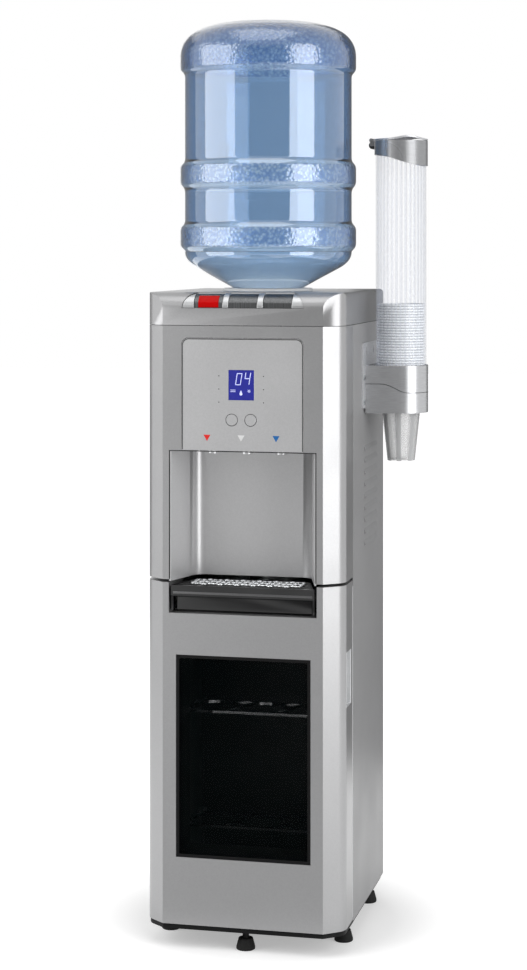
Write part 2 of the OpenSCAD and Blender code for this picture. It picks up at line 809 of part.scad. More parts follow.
// Funnel that carries the bottle, with the feed probe in its well
module bottle_receiver() {
    seat_r = neck_r + (cab_h + collar_h + seat_gap - cone_z) * cone_slope;
    well_top = cone_z + (well_r - neck_r) / cone_slope - seat_gap;
    rim_r = collar_r - collar_lap - fit_gap;
    foot_z = well_z0 + well_t / 3;
    tip_z = neck_z0 + probe_in;
    color("#e6e7e8") translate([0, bottle_y, 0]) {
        rotate_extrude() polygon([[0, well_z0], [well_r + well_t, well_z0],
            [well_r + well_t, well_top - well_fall],
            [rim_r, cab_h - moulding_t], [rim_r, cab_h], [collar_r, cab_h],
            [collar_r - collar_draft, cab_h + collar_h], [seat_r, cab_h + collar_h],
            [well_r, well_top], [well_r, well_z0 + well_t], [0, well_z0 + well_t]]);
        rotate_extrude() polygon([[0, foot_z], [probe_r + probe_foot, foot_z],
            [probe_r, foot_z + probe_foot_h], [probe_r, tip_z], [probe_tip_r, tip_z + probe_tip_h],
            [0, tip_z + probe_tip_h]]);
    }
}

// Bottle outline from the neck to the crown, moved inwards by t
function band(b, w, r) = [for (i = [0:3]) [i == 0 || i == 3 ? w : r, bottle_z1 - b[i]]];
function bottle_side(t) =
    let (r = bottle_r - t, w = bottle_r - waist_in - t, z = bottle_z1)
    concat([[neck_r - t, neck_z0], [neck_r - t, cone_z - t * 0.3],
            [w - shoulder_r, z - shoulder_h + t * 0.8]],
        oval([w - shoulder_r, z - shoulder_drop], shoulder_r, shoulder_rise - t * 0.8, -50, 0, 5),
        band(low_band, w, r), band(mid_band, w, r),
        [[w, z - top_band[0]], [r, z - top_band[1]], [r, z - top_band[2]]],
        oval([r - crown_r, z - top_band[2]], crown_r, crown_h - t, 0, 62, 6),
        [[crown_flat[0], z - 2 - t], [crown_flat[1], z - t], [0, z - t]]);
module bottle() {
    outer = bottle_side(0);
    inner = bottle_side(bottle_t);
    color("#7ea3d0", 0.6) translate([0, bottle_y, 0]) rotate_extrude()
        polygon(concat(outer, [for (i = [len(inner) - 1:-1:0]) inner[i]]));
}
module bottle_cap() {
    r = neck_r + 0.1;
    t = 2;
    hole = probe_r + 2;
    skirt = 30;
    color("#3f6fb4") translate([0, bottle_y, 0]) rotate_extrude()
        polygon([[hole, neck_z0 - t], [r + t, neck_z0 - t], [r + t, neck_z0 + skirt], [r, neck_z0 + skirt],
            [r, neck_z0 - 0.1], [hole, neck_z0 - 0.1]]);
}

// Drip tray, its holder and its grate
module tray_holder() {
    y0 = y_front + grip_d + tray_t + 4;
    color("#161616") difference() {
        slab(floor_z, tray_z1 - holder_drop) polygon(tray_plan(0, y0));
        slab(floor_z + tray_t, tray_z1) polygon(tray_plan(tray_t, y0 - 1));
    }
}
module drip_tray() {
    x = tray_w / 2;
    y = y_front;
    m = tray_t + tray_gap;
    lip_z = tray_z1 - lip_h;
    web = 3;
    lip = [[y, tray_z1], [y, lip_z + 2], [y + 2, lip_z], [y + grip_d, lip_z - 1], [y + grip_d + 1, lip_z - 1],
        [y + grip_d + 1, lip_z + web], [y + lip_t + 1, lip_z + web + 1], [y + lip_t, tray_z1]];
    color("#101010") {
        difference() {
            slab(tray_z0, tray_z1 - grate_t) polygon(tray_plan(m, y + grip_d));
            slab(tray_z0 + tray_t, tray_z1) polygon(tray_plan(m + tray_t, y + grip_d + tray_t));
        }
        along_x(-x, x) polygon(lip);
        for (s = [-1, 1]) translate([s * (x - cheek_t / 2), 0, 0])
            box([-cheek_t / 2, y + cheek_t / 2, tray_z0], [cheek_t / 2, y + grip_d + 2, lip_z + 1]);
    }
}
module quatrefoil(x, y) {
    foil_in = foil_r * 0.9;
    for (a = [0:90:270]) post([x + foil_in * cos(a), y + foil_in * sin(a), 0], foil_r, grate_t + 2);
}
module drip_grate() {
    y0 = y_front + lip_t + 0.5;
    z0 = tray_z1 - grate_t + fit_gap;
    mid = (y0 + y_front + tray_d) / 2 - 1;
    skirt = tray_gap + 2 * tray_t + 0.5;
    skirt_y = y_front + grip_d + tray_t + 0.5;
    color("#c9cbcd") {
        difference() {
            slab(z0, z0 + grate_t) polygon(tray_plan(1, y0));
            translate([0, mid, z0 - 1]) {
                for (i = [-4:4], j = [-0.5, 0.5]) quatrefoil(i * foil_pitch, j * foil_pitch);
                for (i = [-3.5:3.5], j = [-1, 0, 1])
                    post([i * foil_pitch, j * foil_pitch, 0], foil_r * 0.7, grate_t + 2);
            }
        }
        difference() {
            slab(z0 - 4, z0 + 0.5) polygon(tray_plan(skirt, skirt_y));
            slab(z0 - 5, z0 + 1) polygon(tray_plan(skirt + tray_t, skirt_y + tray_t));
        }
    }
}

// Door: a corner shell cut out round the tray, swept clear about the hinge axis
module door_outline(t, y1) {
    polygon(concat([[-half_w + t + hinge_bevel, y1], [-half_w + t, y1 - hinge_bevel]], flip(front_half(t)),
        front_half(t), [[half_w - t, y1]]));
}
module notch(t) {
    intersection() {
        post([hinge_x, hinge_y, notch_z - t], relief_r + t, door_z1 - notch_z + t + 1);
        box([-notch_half - t, y_front - 1, notch_z - t], [half_w, y_seam, door_z1 + 1]);
    }
}
module window_box(m, y0, y1) {
    box([win_x - win_w / 2 - m, y0, win_z0 - m], [win_x + win_w / 2 + m, y1, win_z0 + win_h + m]);
}
module handle_box(m, d) {
    z0 = door_z0 + handle_z;
    box([half_w - d, handle_y0 + m, z0 + m], [half_w + 1, handle_y0 + handle_w - m, z0 + handle_h - m]);
}
module door_shell() {
    t = moulding_t;
    boss_h = pin_len + 3;
    color("#a6a6a6") difference() {
        union() {
            difference() {
                slab(door_z0, door_z1) door_outline(0, door_y1);
                slab(door_z0 + t, door_z1 - t) polygon(front_plan(t, door_y1 + 1));
            }
            intersection() {
                slab(door_z0, door_z1) door_outline(0, door_y1);
                difference() {
                    notch(t);
                    notch(0);
                }
            }
            for (z = [door_z0, door_z1 - boss_h]) post([hinge_x, hinge_y, z], hinge_boss_r, boss_h);
        }
        notch(0);
        window_box(0, y_front - 1, glass_y0 + 1);
        handle_box(0, moulding_t + 1);
        post([hinge_x, hinge_y, door_z0 - 1], pin_r + pin_play, pin_len + 1.5);
        post([hinge_x, hinge_y, door_z1 - pin_len - 0.5], pin_r + pin_play, pin_len + 1);
    }
}
module door_liner() {
    x0 = -half_w + hinge_bevel + fit_gap;
    x1 = half_w - moulding_t - fit_gap;
    z0 = door_z0 + moulding_t + fit_gap;
    z1 = notch_z - moulding_t - fit_gap;
    color("#2a2b2d") difference() {
        union() {
            box([x0, door_y1 - plate_t, z0], [x1, door_y1, z1]);
            window_box(tunnel_t, glass_y1, door_y1);
        }
        window_box(0, glass_y1 - 1, door_y1 + 1);
    }
}
module door_gasket() {
    x = gasket_x;
    z0 = cavity_z0 - 6;
    z1 = cavity_z1 + 6;
    w = gasket_w;
    color("#1b1b1c") along_y(door_y1, door_y1 + gasket_t) difference() {
        rounded_rect([-x - w, z0 - w], [x + w, z1 + w], 14);
        rounded_rect([-x, z0], [x, z1], 4);
    }
}
module door_glass() {
    color("#0d1416", 0.75) window_box(glass_lap, glass_y0, glass_y1);
}
module window_trim() {
    color("#0c0c0d") difference() {
        window_box(-fit_gap, y_front + 0.2, glass_y0);
        window_box(-trim_w, y_front - 1, glass_y0 + 1);
    }
}
module door_handle() {
    color("#dedfe0") difference() {
        handle_box(fit_gap, handle_d);
        translate([1.5, 0, 0]) handle_box(2, handle_d - 2);
        box([half_w - 0.3, handle_y0 - 1, door_z0], [half_w + 2, handle_y0 + handle_w + 1, door_z1]);
    }
}
module door_hinges() {
    z = housing_z0 + moulding_t;
    p = [hinge_x + hinge_plate_x[0], hinge_y + hinge_plate_y[0], z];
    q = [hinge_x + hinge_plate_x[1], hinge_y + hinge_plate_y[1], z + hinge_plate_t];
    color("#8a8c8e") {
        post([hinge_x, hinge_y, foot_h + sheet_t], pin_r, door_z0 + pin_len - foot_h - sheet_t);
        box(p, q);
        post([hinge_x, hinge_y, door_z1 - pin_len], pin_r, z + hinge_plate_t / 3 - door_z1 + pin_len);
    }
}

// Bottle cabinet behind the door
module cabinet_liner() {
    x = cavity_w / 2;
    t = liner_t;
    color("#3a3c3f") {
        difference() {
            union() {
                box([-fit_x, face_y, pan_z1 + 0.5], [fit_x, face_y + t, deck_z - 0.5]);
                box([-x - t, face_y, cavity_z0 - t], [x + t, cavity_y1 + t, cavity_z1 + t]);
            }
            box([-x, face_y - 1, cavity_z0], [x, cavity_y1, cavity_z1]);
        }
        for (s = [-1, 1], u = ledge_up) translate([s * (x + 0.5 - ledge_w / 2), 0, cavity_z0 + u])
            box([-ledge_w / 2 - 0.5, face_y + 12, -ledge_h], [ledge_w / 2 + 0.5, cavity_y1 + 0.5, 0]);
    }
}
module rack(z) {
    x = cavity_w / 2 - 1;
    y0 = face_y + 16;
    y1 = y0 + 2 * (ring_r + bar_w);
    b = bar_w;
    slab(z, z + b) {
        for (y = [y0, y1 - b]) translate([-x, y]) square([2 * x, b]);
        for (s = [-1, 1]) translate([s * (x - b / 2) - b / 2, y0]) square([b, y1 - y0]);
    }
    for (i = [-1, 0, 1]) difference() {
        post([i * (2 * ring_r + b), (y0 + y1) / 2, z], ring_r + b / 2 + 0.5, b);
        post([i * (2 * ring_r + b), (y0 + y1) / 2, z - 1], ring_r - b / 2 + 0.5, b + 2);
    }
}
module bottle_racks() { color("#b8babc") for (u = ledge_up) rack(cavity_z0 + u); }
module evaporator_plate() {
    x = cavity_w / 2 - 30;
    y = cavity_y1 + liner_t;
    color("#b9bbbd") box([-x, y, cavity_z0 + 60], [x, y + evaporator_t, cavity_z1 - 60]);
}

// Water tanks, pipes and cooling unit
// Half section of the cold tank, moved inwards by t, with its neck reaching up to z
module cold_tank_half(t, z) {
    r = cold_tank_r - tank_edge;
    z1 = well_z0 - tank_neck_h;
    polygon(concat([[0, cold_tank_z0 + t]], arc([r, cold_tank_z0 + tank_edge], tank_edge - t, -90, 0),
        arc([r, z1 - tank_edge], tank_edge - t, 0, 90),
        [[tank_neck_r - t, z1 - t], [tank_neck_r - t, z], [0, z]]));
}
module cold_tank() {
    r = cold_tank_r;
    y = -r - nipple_out;
    color("#c3c5c7") translate([0, bottle_y, 0]) difference() {
        union() {
            rotate_extrude() cold_tank_half(0, well_z0);
            for (s = [-1, 1]) post_y([s * nipple_x, y, inlet_z], pipe_r + 1, nipple_len);
        }
        rotate_extrude() cold_tank_half(tank_t, well_z0 + 1);
        for (s = [-1, 1]) post_y([s * nipple_x, y - 1, inlet_z], pipe_r - 1, nipple_len + 2);
    }
}
module hot_tank_half(t) {
    z0 = deck_z + sheet_t + t;
    e = hot_tank_edge;
    polygon(concat([[0, z0], [hot_tank_r - t, z0]], arc([hot_tank_r - e, hot_tank_z1 - e], e - t, 0, 90),
        [[0, hot_tank_z1 - t]]));
}
module hot_tank() {
    x = -hot_tank_r - nipple_out;
    y = hot_tank_r - drain_root;
    stub = y_panel + stub_out - hot_tank_y - y;
    color("#b7b9bb") translate([0, hot_tank_y, 0]) difference() {
        union() {
            rotate_extrude() hot_tank_half(0);
            post_x([x, 0, hot_pipe_z], pipe_r + 1, nipple_len);
            post_y([0, y, drain_z], drain_r, stub);
        }
        rotate_extrude() hot_tank_half(tank_t);
        post_x([x - 1, 0, hot_pipe_z], pipe_r - 1, nipple_len + 2);
        post_y([0, y - 1, drain_z], drain_r - tank_t, stub + 2);
    }
}
module water_pipes() {
    bend_y = inlet_y + 26;
    side_x = cold_tank_r + 22;
    tank_y = bottle_y - cold_tank_r - nipple_out;
    hot_z = hot_pipe_z;
    color("#e9e6df") {
        for (s = [-1, 1]) {
            tap_x = (s + 1) / 2 * key_pitch;
            pipe([[tap_x, inlet_y, inlet_z], [tap_x, bend_y, inlet_z], [s * nipple_x, bend_y, inlet_z],
                [s * nipple_x, tank_y, inlet_z]], pipe_r);
        }
        pipe([[-key_pitch, inlet_y, inlet_z], [-key_pitch, bend_y, inlet_z], [-side_x, bend_y, inlet_z],
            [-side_x, hot_tank_y, inlet_z], [-side_x, hot_tank_y, hot_z],
            [-hot_tank_r - nipple_out, hot_tank_y, hot_z]], pipe_r);
    }
}
module compressor() {
    r = compressor_r;
    z0 = foot_h + sheet_t;
    low = z0 + compressor_up;
    high = z0 + compressor_h;
    base = [r + base_out, r - leg_in];
    leg = [leg_w / 2, r - dome_flat];
    belt = [for (p = [[0, 0], [belt_out, 0], [belt_out, 1], [0, 1]]) [r + p[0], z0 + belt_z[p[1]]]];
    color("#17181a") translate([0, compressor_y, 0]) {
        rotate_extrude() polygon(concat([[0, low]],
            arc([sole_flat, low + r - sole_flat], r - sole_flat, -90, 0), belt,
            arc([dome_flat, high - r + dome_flat], r - dome_flat, 0, 90), [[0, high]]));
        box([-base[0], -base[1], z0], [base[0], base[1], z0 + base_t]);
        for (s = [-1, 1]) translate([s * (r - leg_in), 0, z0])
            box([-leg[0], -leg[1], base_t - 1], [leg[0], leg[1], leg_h]);
        post_x([r - leg_in, 0, z0 + discharge_h], discharge_r, leg_in + discharge_out);
    }
}
// Serpentine of round tube with wires across it, and the line back to the compressor
module condenser() {
    y = condenser_y;
    r = condenser_r;
    top = run_z0 + run_pitch * (run_count - 1);
    n = floor((run_x - 2 * wire_w) / wire_pitch);
    runs = [for (i = [run_count - 1:-1:0], s = [1, -1])
        [(i % 2 == 0 ? -s : s) * run_x, y, run_z0 + i * run_pitch]];
    line_z = foot_h + sheet_t + discharge_h;
    wire_y = y + r + 0.05;
    color("#141415") {
        pipe(concat(runs, [[run_x, compressor_y, run_z0], [run_x, compressor_y, line_z],
            [compressor_r + discharge_out, compressor_y, line_z]]), r);
        for (i = [-n:n]) translate([i * wire_pitch, wire_y, 0])
            box([-wire_w / 2, 0, run_z0 - 14], [wire_w / 2, wire_w, top + 14]);
        for (s = [-1, 1], z = [run_z0 + run_pitch * 1.5, top - run_pitch * 1.5])
            translate([s * wire_pitch * 3, 0, z])
                box([-5, y_panel + sheet_t, -3], [5, wire_y + wire_w / 2, 3]);
    }
}

// Feet, nuts, rear fittings and screws
module foot(i) {
    color("#1a1a1b") translate([feet[i][0], feet[i][1], 0]) {
        rotate_extrude() polygon([[0, 0], [foot_r - 1, 0], [foot_r, 1], [foot_r, 4],
            [foot_top_r, rubber_h], [0, rubber_h]]);
        post([0, 0, rubber_h - 2], stud_r, foot_h + sheet_t + nut_h - rubber_h + 2);
    }
}
module foot_front_left() { foot(0); }
module foot_front_right() { foot(1); }
module foot_rear_left() { foot(2); }
module foot_rear_right() { foot(3); }
module foot_middle() { foot(4); }
module foot_nuts() {
    color("#9a9c9e") for (f = feet) translate([f[0], f[1], foot_h + sheet_t]) difference() {
        cylinder(r = nut_r, h = nut_h, $fn = 6);
        post([0, 0, -1], stud_r + pin_play, nut_h + 2);
    }
}
module switch_housings() {
    w = switch_w / 2;
    h = switch_h / 2;
    y = y_panel + sheet_t;
    color("#151516") for (s = [-1, 1]) translate([s * switch_x, 0, switch_z]) difference() {
        union() {
            box([-w - 2.5, y, -h - 2.5], [w + 2.5, y + 2, h + 2.5]);
            box([-w + fit_gap, y - 16, -h + fit_gap], [w - fit_gap, y + 1, h - fit_gap]);
        }
        box([-w + 2, y - 12, -h + 2], [w - 2, y + 3, h - 2]);
    }
}
module rocker(x, tone) {
    w = switch_w / 2 - 2.4;
    h = switch_h / 2 - 3.4;
    y = y_panel + sheet_t - 4;
    color(tone) translate([x, y, switch_z]) rotate([rocker_tilt, 0, 0])
        along_x(-w, w) polygon([[-4, -h + 2], [5.5, -h], [3.5, 0], [5.5, h], [-4, h - 2]]);
}
module rocker_hot() { rocker(switch_x, "#c01818"); }
module rocker_cold() { rocker(-switch_x, "#1d7a3a"); }
module drain_cap() {
    y = y_panel + sheet_t + 0.5;
    color("#202122") difference() {
        union() {
            post_y([0, y, drain_z], drain_r + 4, 14.5);
            for (a = [0:30:330]) translate([0, y, drain_z]) rotate([0, a, 0])
                box([drain_r + 3, 0, -1], [drain_r + 5, 12, 1]);
        }
        post_y([0, y - 1, drain_z], drain_r + pin_play, y_panel + stub_out - y + 1.5);
    }
}
module power_inlet() {
    color("#121213") difference() {
        union() {
            post_y([inlet_x, y_panel - gland_in, inlet_h], gland_r, gland_in + sheet_t + 1);
            post_y([inlet_x, y_panel + sheet_t, inlet_h], gland_r + 3, 4);
        }
        post_y([inlet_x, y_panel - gland_in - 1, inlet_h], gland_bore_r, gland_in + 18);
    }
}
module screws() {
    len = sheet_t * 2 + 4;
    color("#b4b6b8") {
        for (s = [-1, 1], z = screw_rows) translate([s * (wall_x - flange_w / 2), y_panel + sheet_t, z]) {
            post_y([0, 0, 0], screw_head_r, screw_head_h);
            post_y([0, -len, 0], screw_r, len + 1);
        }
        for (y = bracket_screw_y, z = bracket_screw_z) translate([half_w + bracket_t, y, z]) {
            post_x([0, 0, 0], screw_head_r, screw_head_h);
            post_x([-len - bracket_t, 0, 0], screw_r, len + bracket_t + 1);
        }
    }
}

// Cup dispenser on the right side: wall plate, two-part steel holder, clear tube and cap
module dispenser_bracket() {
    r = 8;
    z0 = holder_z0 + 8;
    key_z = z0 + plate_h - 16;
    corner = [plate_w / 2, plate_h];
    color("#b9bbbd") difference() {
        along_x(plate_x, plate_x + bracket_t)
            rounded_rect([tube_y - corner[0], z0], [tube_y + corner[0], z0 + corner[1]], r);
        for (y = bracket_screw_y, z = bracket_screw_z) post_x([plate_x - 1, y, z], hole_r, bracket_t + 2);
        for (s = [-1, 1]) translate([0, tube_y + s * plate_w / 4, key_z]) {
            post_x([plate_x - 1, 0, 0], keyhole_r, bracket_t + 2);
            box([plate_x - 1, -keyhole_r / 2, 0], [plate_x + bracket_t + 1, keyhole_r / 2, 10]);
        }
    }
}
module holder_outline(t) {
    r = holder_r - t;
    translate([tube_x, tube_y]) circle(r = r);
    translate([plate_x + bracket_t + t, tube_y - r]) square([tube_out - bracket_t - t, 2 * r]);
}
// Curve of the seam between the two halves of the holder: level, down a slope, level again
function seam_curve(g) = concat([[plate_x, seam_up + seam_rise + g]],
    [for (i = [0:arc_steps]) let (u = i / arc_steps)
        [tube_x + seam_in + seam_run * u, seam_up + g + seam_rise * cos(180 * u)]],
    [[tube_x + holder_r + 1, seam_up - seam_rise + g]]);
module holder_shell() {
    difference() {
        slab(holder_z0, holder_z1) holder_outline(0);
        slab(holder_z0 + steel_t, holder_z1 + 1) holder_outline(steel_t);
        post([tube_x, tube_y, holder_z0 - 1], cup_rim_r + 1, steel_t + 2);
    }
}
module cup_holder() {
    x1 = tube_x + holder_r + 1;
    under = concat(seam_curve(0), [[x1, -1], [plate_x, -1]]);
    over = concat(seam_curve(cap_gap), [[x1, holder_h + 1], [plate_x, holder_h + 1]]);
    color("#b4b6b8") {
        for (part = [under, over]) intersection() {
            holder_shell();
            translate([0, 0, holder_z0]) along_y(tube_y - holder_r - 1, tube_y + holder_r + 1) polygon(part);
        }
        difference() {
            union() {
                slab(shelf_z, shelf_z + shelf_t) holder_outline(steel_t - 0.2);
                post([tube_x, tube_y, shelf_z], cup_rim_r + cup_gap + sleeve_t, cup_z1 + 4 - shelf_z);
            }
            post([tube_x, tube_y, shelf_z - 1], cup_rim_r + cup_gap, cup_h);
        }
    }
}
module cup_tube() {
    color("#e8eef2", 0.4) translate([tube_x, tube_y, 0]) {
        slab(shelf_z + shelf_t, tube_top) difference() {
            circle(r = tube_r);
            circle(r = tube_r - tube_t);
        }
    }
}
// Slanted lower edge of the cap, long on the outer side
function cap_edge(x) =
    let (u = min(max((x - tube_x + cap_r) / (2 * cap_r), 0), 1))
    cap_slant * (1 + cos(180 * u)) / 2;
module tube_cap() {
    n = 10;
    x0 = tube_x - cap_r - 1;
    x1 = tube_x + cap_r + 1;
    low = [for (i = [0:n]) let (x = x0 + (x1 - x0) * i / n) [x, cap_z0 + cap_edge(x)]];
    a = lid_axis;
    color("#aeb0b2") {
        intersection() {
            post([tube_x, tube_y, cap_z0 - 1], cap_r, cap_h + 2);
            along_y(tube_y - cap_r, tube_y + cap_r) polygon(concat(low, [[x1, cap_z1], [x0, cap_z1]]));
            difference() {
                post([tube_x, tube_y, cap_z0 - 2], cap_r + 1, cap_h + 4);
                post([tube_x, tube_y, cap_z0 - 3], tube_r + cap_gap, tube_top - cap_z0 + 3.2);
                post([tube_x, tube_y, cap_z0], tube_r - tube_t, cap_h + 4);
            }
        }
        for (s = [-1, 1]) translate([0, tube_y + s * knuckle_y - knuckle_w / 2, 0]) {
            post_y([a[0], 0, a[1]], knuckle_r, knuckle_w);
            box([a[0] - 2, 0, a[1] - 9], [tube_x - cap_r + steel_t - 0.2, knuckle_w, a[1] - 1.5]);
        }
        post_y([a[0], tube_y - knuckle_y, a[1]], lid_pin_r, 2 * knuckle_y);
    }
}
// Lid with a wave across it, turning on the cap's pin
function lid_curve(u) = (1 - cos(360 * pow(u, 2.2))) / 2;
module cap_lid() {
    n = 12;
    z = cap_z1 + lid_gap;
    x0 = tube_x - cap_r;
    w = 2 * cap_r;
    top = [for (i = [0:n]) let (u = i / n) [x0 + w * u, z + lid_t + lid_wave * lid_curve(u)]];
    low = [for (i = [n:-1:0]) let (u = i / n) [x0 + w * u, z + lid_wave * max(0, lid_curve(u) - 0.1)]];
    a = lid_axis;
    color("#b6b8ba") {
        intersection() {
            post([tube_x, tube_y, z - 1], cap_r, lid_t + lid_wave + 2);
            along_y(tube_y - cap_r, tube_y + cap_r) polygon(concat(top, low));
        }
        difference() {
            union() {
                post_y([a[0], tube_y - 6, a[1]], knuckle_r, 12);
                box([a[0], tube_y - 6, a[1] + 0.5], [x0 + 8, tube_y + 6, a[1] + 2.8]);
            }
            post_y([a[0], tube_y - 10, a[1]], lid_pin_r + pin_play, 20);
        }
    }
}

// Tapered cups: the lowest one hangs out of the holder, the others nest above it
module pull_cup() {
    r0 = cup_foot_r;
    r1 = cup_rim_r - rim_w;
    t = cup_t;
    color("#dfe4e6", 0.6) translate([tube_x, tube_y, 0]) rotate_extrude()
        polygon([[0, cup_z0], [r0, cup_z0], [r1, cup_z1 - 3], [cup_rim_r, cup_z1 - 3],
            [cup_rim_r, cup_z1 - 1], [r1 - t, cup_z1 - 1], [r0 - t, cup_z0 + t], [0, cup_z0 + t]]);
}
module cup_stack() {
    r0 = cup_foot_r - cup_t - nest_gap;
    r1 = cup_rim_r - rim_w - cup_t - nest_gap;
    z0 = cup_z0 + cup_t + nest_gap;
    s = cup_step;
    w = stack_t;
    rim = [[r1, 0], [cup_rim_r, s - 3], [cup_rim_r, s - 1.5], [r1, s - 0.8]];
    rims = [for (i = [0:cup_count - 1], p = rim) [p[0], cup_z1 + i * s + p[1]]];
    color("#e3e7e9", 0.7) translate([tube_x, tube_y, 0]) rotate_extrude()
        polygon(concat([[0, z0], [r0, z0]], rims, [[r1 - w, stack_z1 - 0.8], [r1 - w, cup_z1],
            [r0 - w, z0 + w], [0, z0 + w]]));
}

base_plate();
side_panel_left();
side_panel_right();
back_panel();
deck_plate();
top_cover();
upper_housing();
niche_liner();
control_panel();
lcd_lens();
control_board();
key_bezel();
bottle_receiver();
taps();
tray_holder();
cabinet_liner();
bottle_racks();
evaporator_plate();
cold_tank();
hot_tank();
water_pipes();
compressor();
condenser();
door_hinges();
foot_nuts();
switch_housings();
power_inlet();
screws();
dispenser_bracket();
cup_holder();
cup_tube();
tube_cap();
door_shell();
door_liner();
door_gasket();
door_glass();
window_trim();
door_handle();
drip_tray();
drip_grate();
key_hot();
hot_lock();
key_room();
key_cold();
button_left();
button_right();
bottle();
bottle_cap();
cap_lid();
pull_cup();
cup_stack();
foot_front_left();
foot_front_right();
foot_rear_left();
foot_rear_right();
foot_middle();
rocker_hot();
rocker_cold();
drain_cap();
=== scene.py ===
"""Looks of a floor-standing bottled-water cooler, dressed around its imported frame."""
import json
import logging
import math
from collections.abc import Iterable
from dataclasses import dataclass, field
from enum import Enum

import bmesh
import bpy
from mathutils import Matrix, Vector


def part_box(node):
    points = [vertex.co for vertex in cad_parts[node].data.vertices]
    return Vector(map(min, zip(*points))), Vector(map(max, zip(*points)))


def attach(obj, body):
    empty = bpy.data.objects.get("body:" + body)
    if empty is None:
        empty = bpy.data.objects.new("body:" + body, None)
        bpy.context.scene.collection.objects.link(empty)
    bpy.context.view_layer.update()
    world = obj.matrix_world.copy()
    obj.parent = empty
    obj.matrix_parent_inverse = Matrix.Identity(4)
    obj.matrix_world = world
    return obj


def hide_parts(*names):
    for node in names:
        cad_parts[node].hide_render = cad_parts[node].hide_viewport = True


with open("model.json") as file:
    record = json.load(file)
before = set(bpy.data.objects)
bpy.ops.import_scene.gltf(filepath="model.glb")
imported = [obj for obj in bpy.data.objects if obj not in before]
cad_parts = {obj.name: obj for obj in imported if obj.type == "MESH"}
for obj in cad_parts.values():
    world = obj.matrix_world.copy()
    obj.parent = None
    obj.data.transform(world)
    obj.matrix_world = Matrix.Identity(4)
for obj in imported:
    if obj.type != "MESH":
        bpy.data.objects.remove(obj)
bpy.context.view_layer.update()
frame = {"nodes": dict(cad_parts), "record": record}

LOG = logging.getLogger("water_cooler")
MM = 0.001
PHOTO_H = 970
RECORD = frame["record"]
BODY_OF = {node: body for body, nodes in RECORD["behaviour"]["bodies"].items() for node in nodes}
SLOT_OF = {part["node"]: part["material_slot"] for part in RECORD["subparts"]}

Tree = bpy.types.NodeTree
Socket = bpy.types.NodeSocket
Piece = bpy.types.Object
Mesh = bmesh.types.BMesh
Color = tuple[float, float, float, float]
Outline = list[tuple[float, float]]


def linear(hex_color: str) -> Color:
    """Turns an sRGB hex value into a linear colour.

    Args:
        hex_color: the colour as "#rrggbb".
    Returns:
        Red, green, blue and alpha.
    """
    parts = [int(hex_color[i:i + 2], 16) / 255 for i in (1, 3, 5)]
    red, green, blue = (p / 12.92 if p <= 0.04045 else ((p + 0.055) / 1.055) ** 2.4 for p in parts)
    return red, green, blue, 1.0


def shade(hex_color: str, factor: float) -> Color:
    """Gives a colour made darker or lighter by a factor."""
    return (*(min(1.0, c * factor) for c in linear(hex_color)[:3]), 1.0)


def add_node(tree: Tree, kind: str, inputs: dict | None = None, **settings) -> bpy.types.Node:
    """Adds a node with its settings and links.

    Args:
        tree: the node tree.
        kind: the node's type name.
        inputs: socket name or number to a value, or to the socket that feeds it.
        settings: properties of the node.
    Returns:
        The new node.
    """
    node = tree.nodes.new(kind)
    for name, value in settings.items():
        setattr(node, name, value)
    for name, value in (inputs or {}).items():
        if isinstance(value, Socket):
            tree.links.new(value, node.inputs[name])
        else:
            node.inputs[name].default_value = value
    return node


class Grain(Enum):
    """How the fine pattern of a surface is laid."""

    CLOUD = "cloud"
    BRUSHED_Z = "brushed_z"
    BRUSHED_ROUND = "brushed_round"
    CELLS = "cells"


# How far a brushed pattern is drawn out along its scratches
STRETCH = {Grain.BRUSHED_Z: (1.0, 1.0, 0.02), Grain.BRUSHED_ROUND: (0.06, 0.06, 1.0)}
# Values of the fine pattern between which the colour goes from dark to light
TONE_STOPS = (0.3, 0.7)
# Size of the patches over which the gloss wavers, and the values between which it does
HAND_MM = 90.0
WEAR_STOPS = (0.15, 0.85)
COAT_ROUGHNESS = 0.08
# How soon a thin clear wall shows as it turns on edge
EDGE_BLEND = 0.35
# Numbers of the sockets of a colour mix: the share, its two colours and the result
MIX_SHARE, MIX_LOW, MIX_HIGH, MIX_RESULT = 0, 6, 7, 2


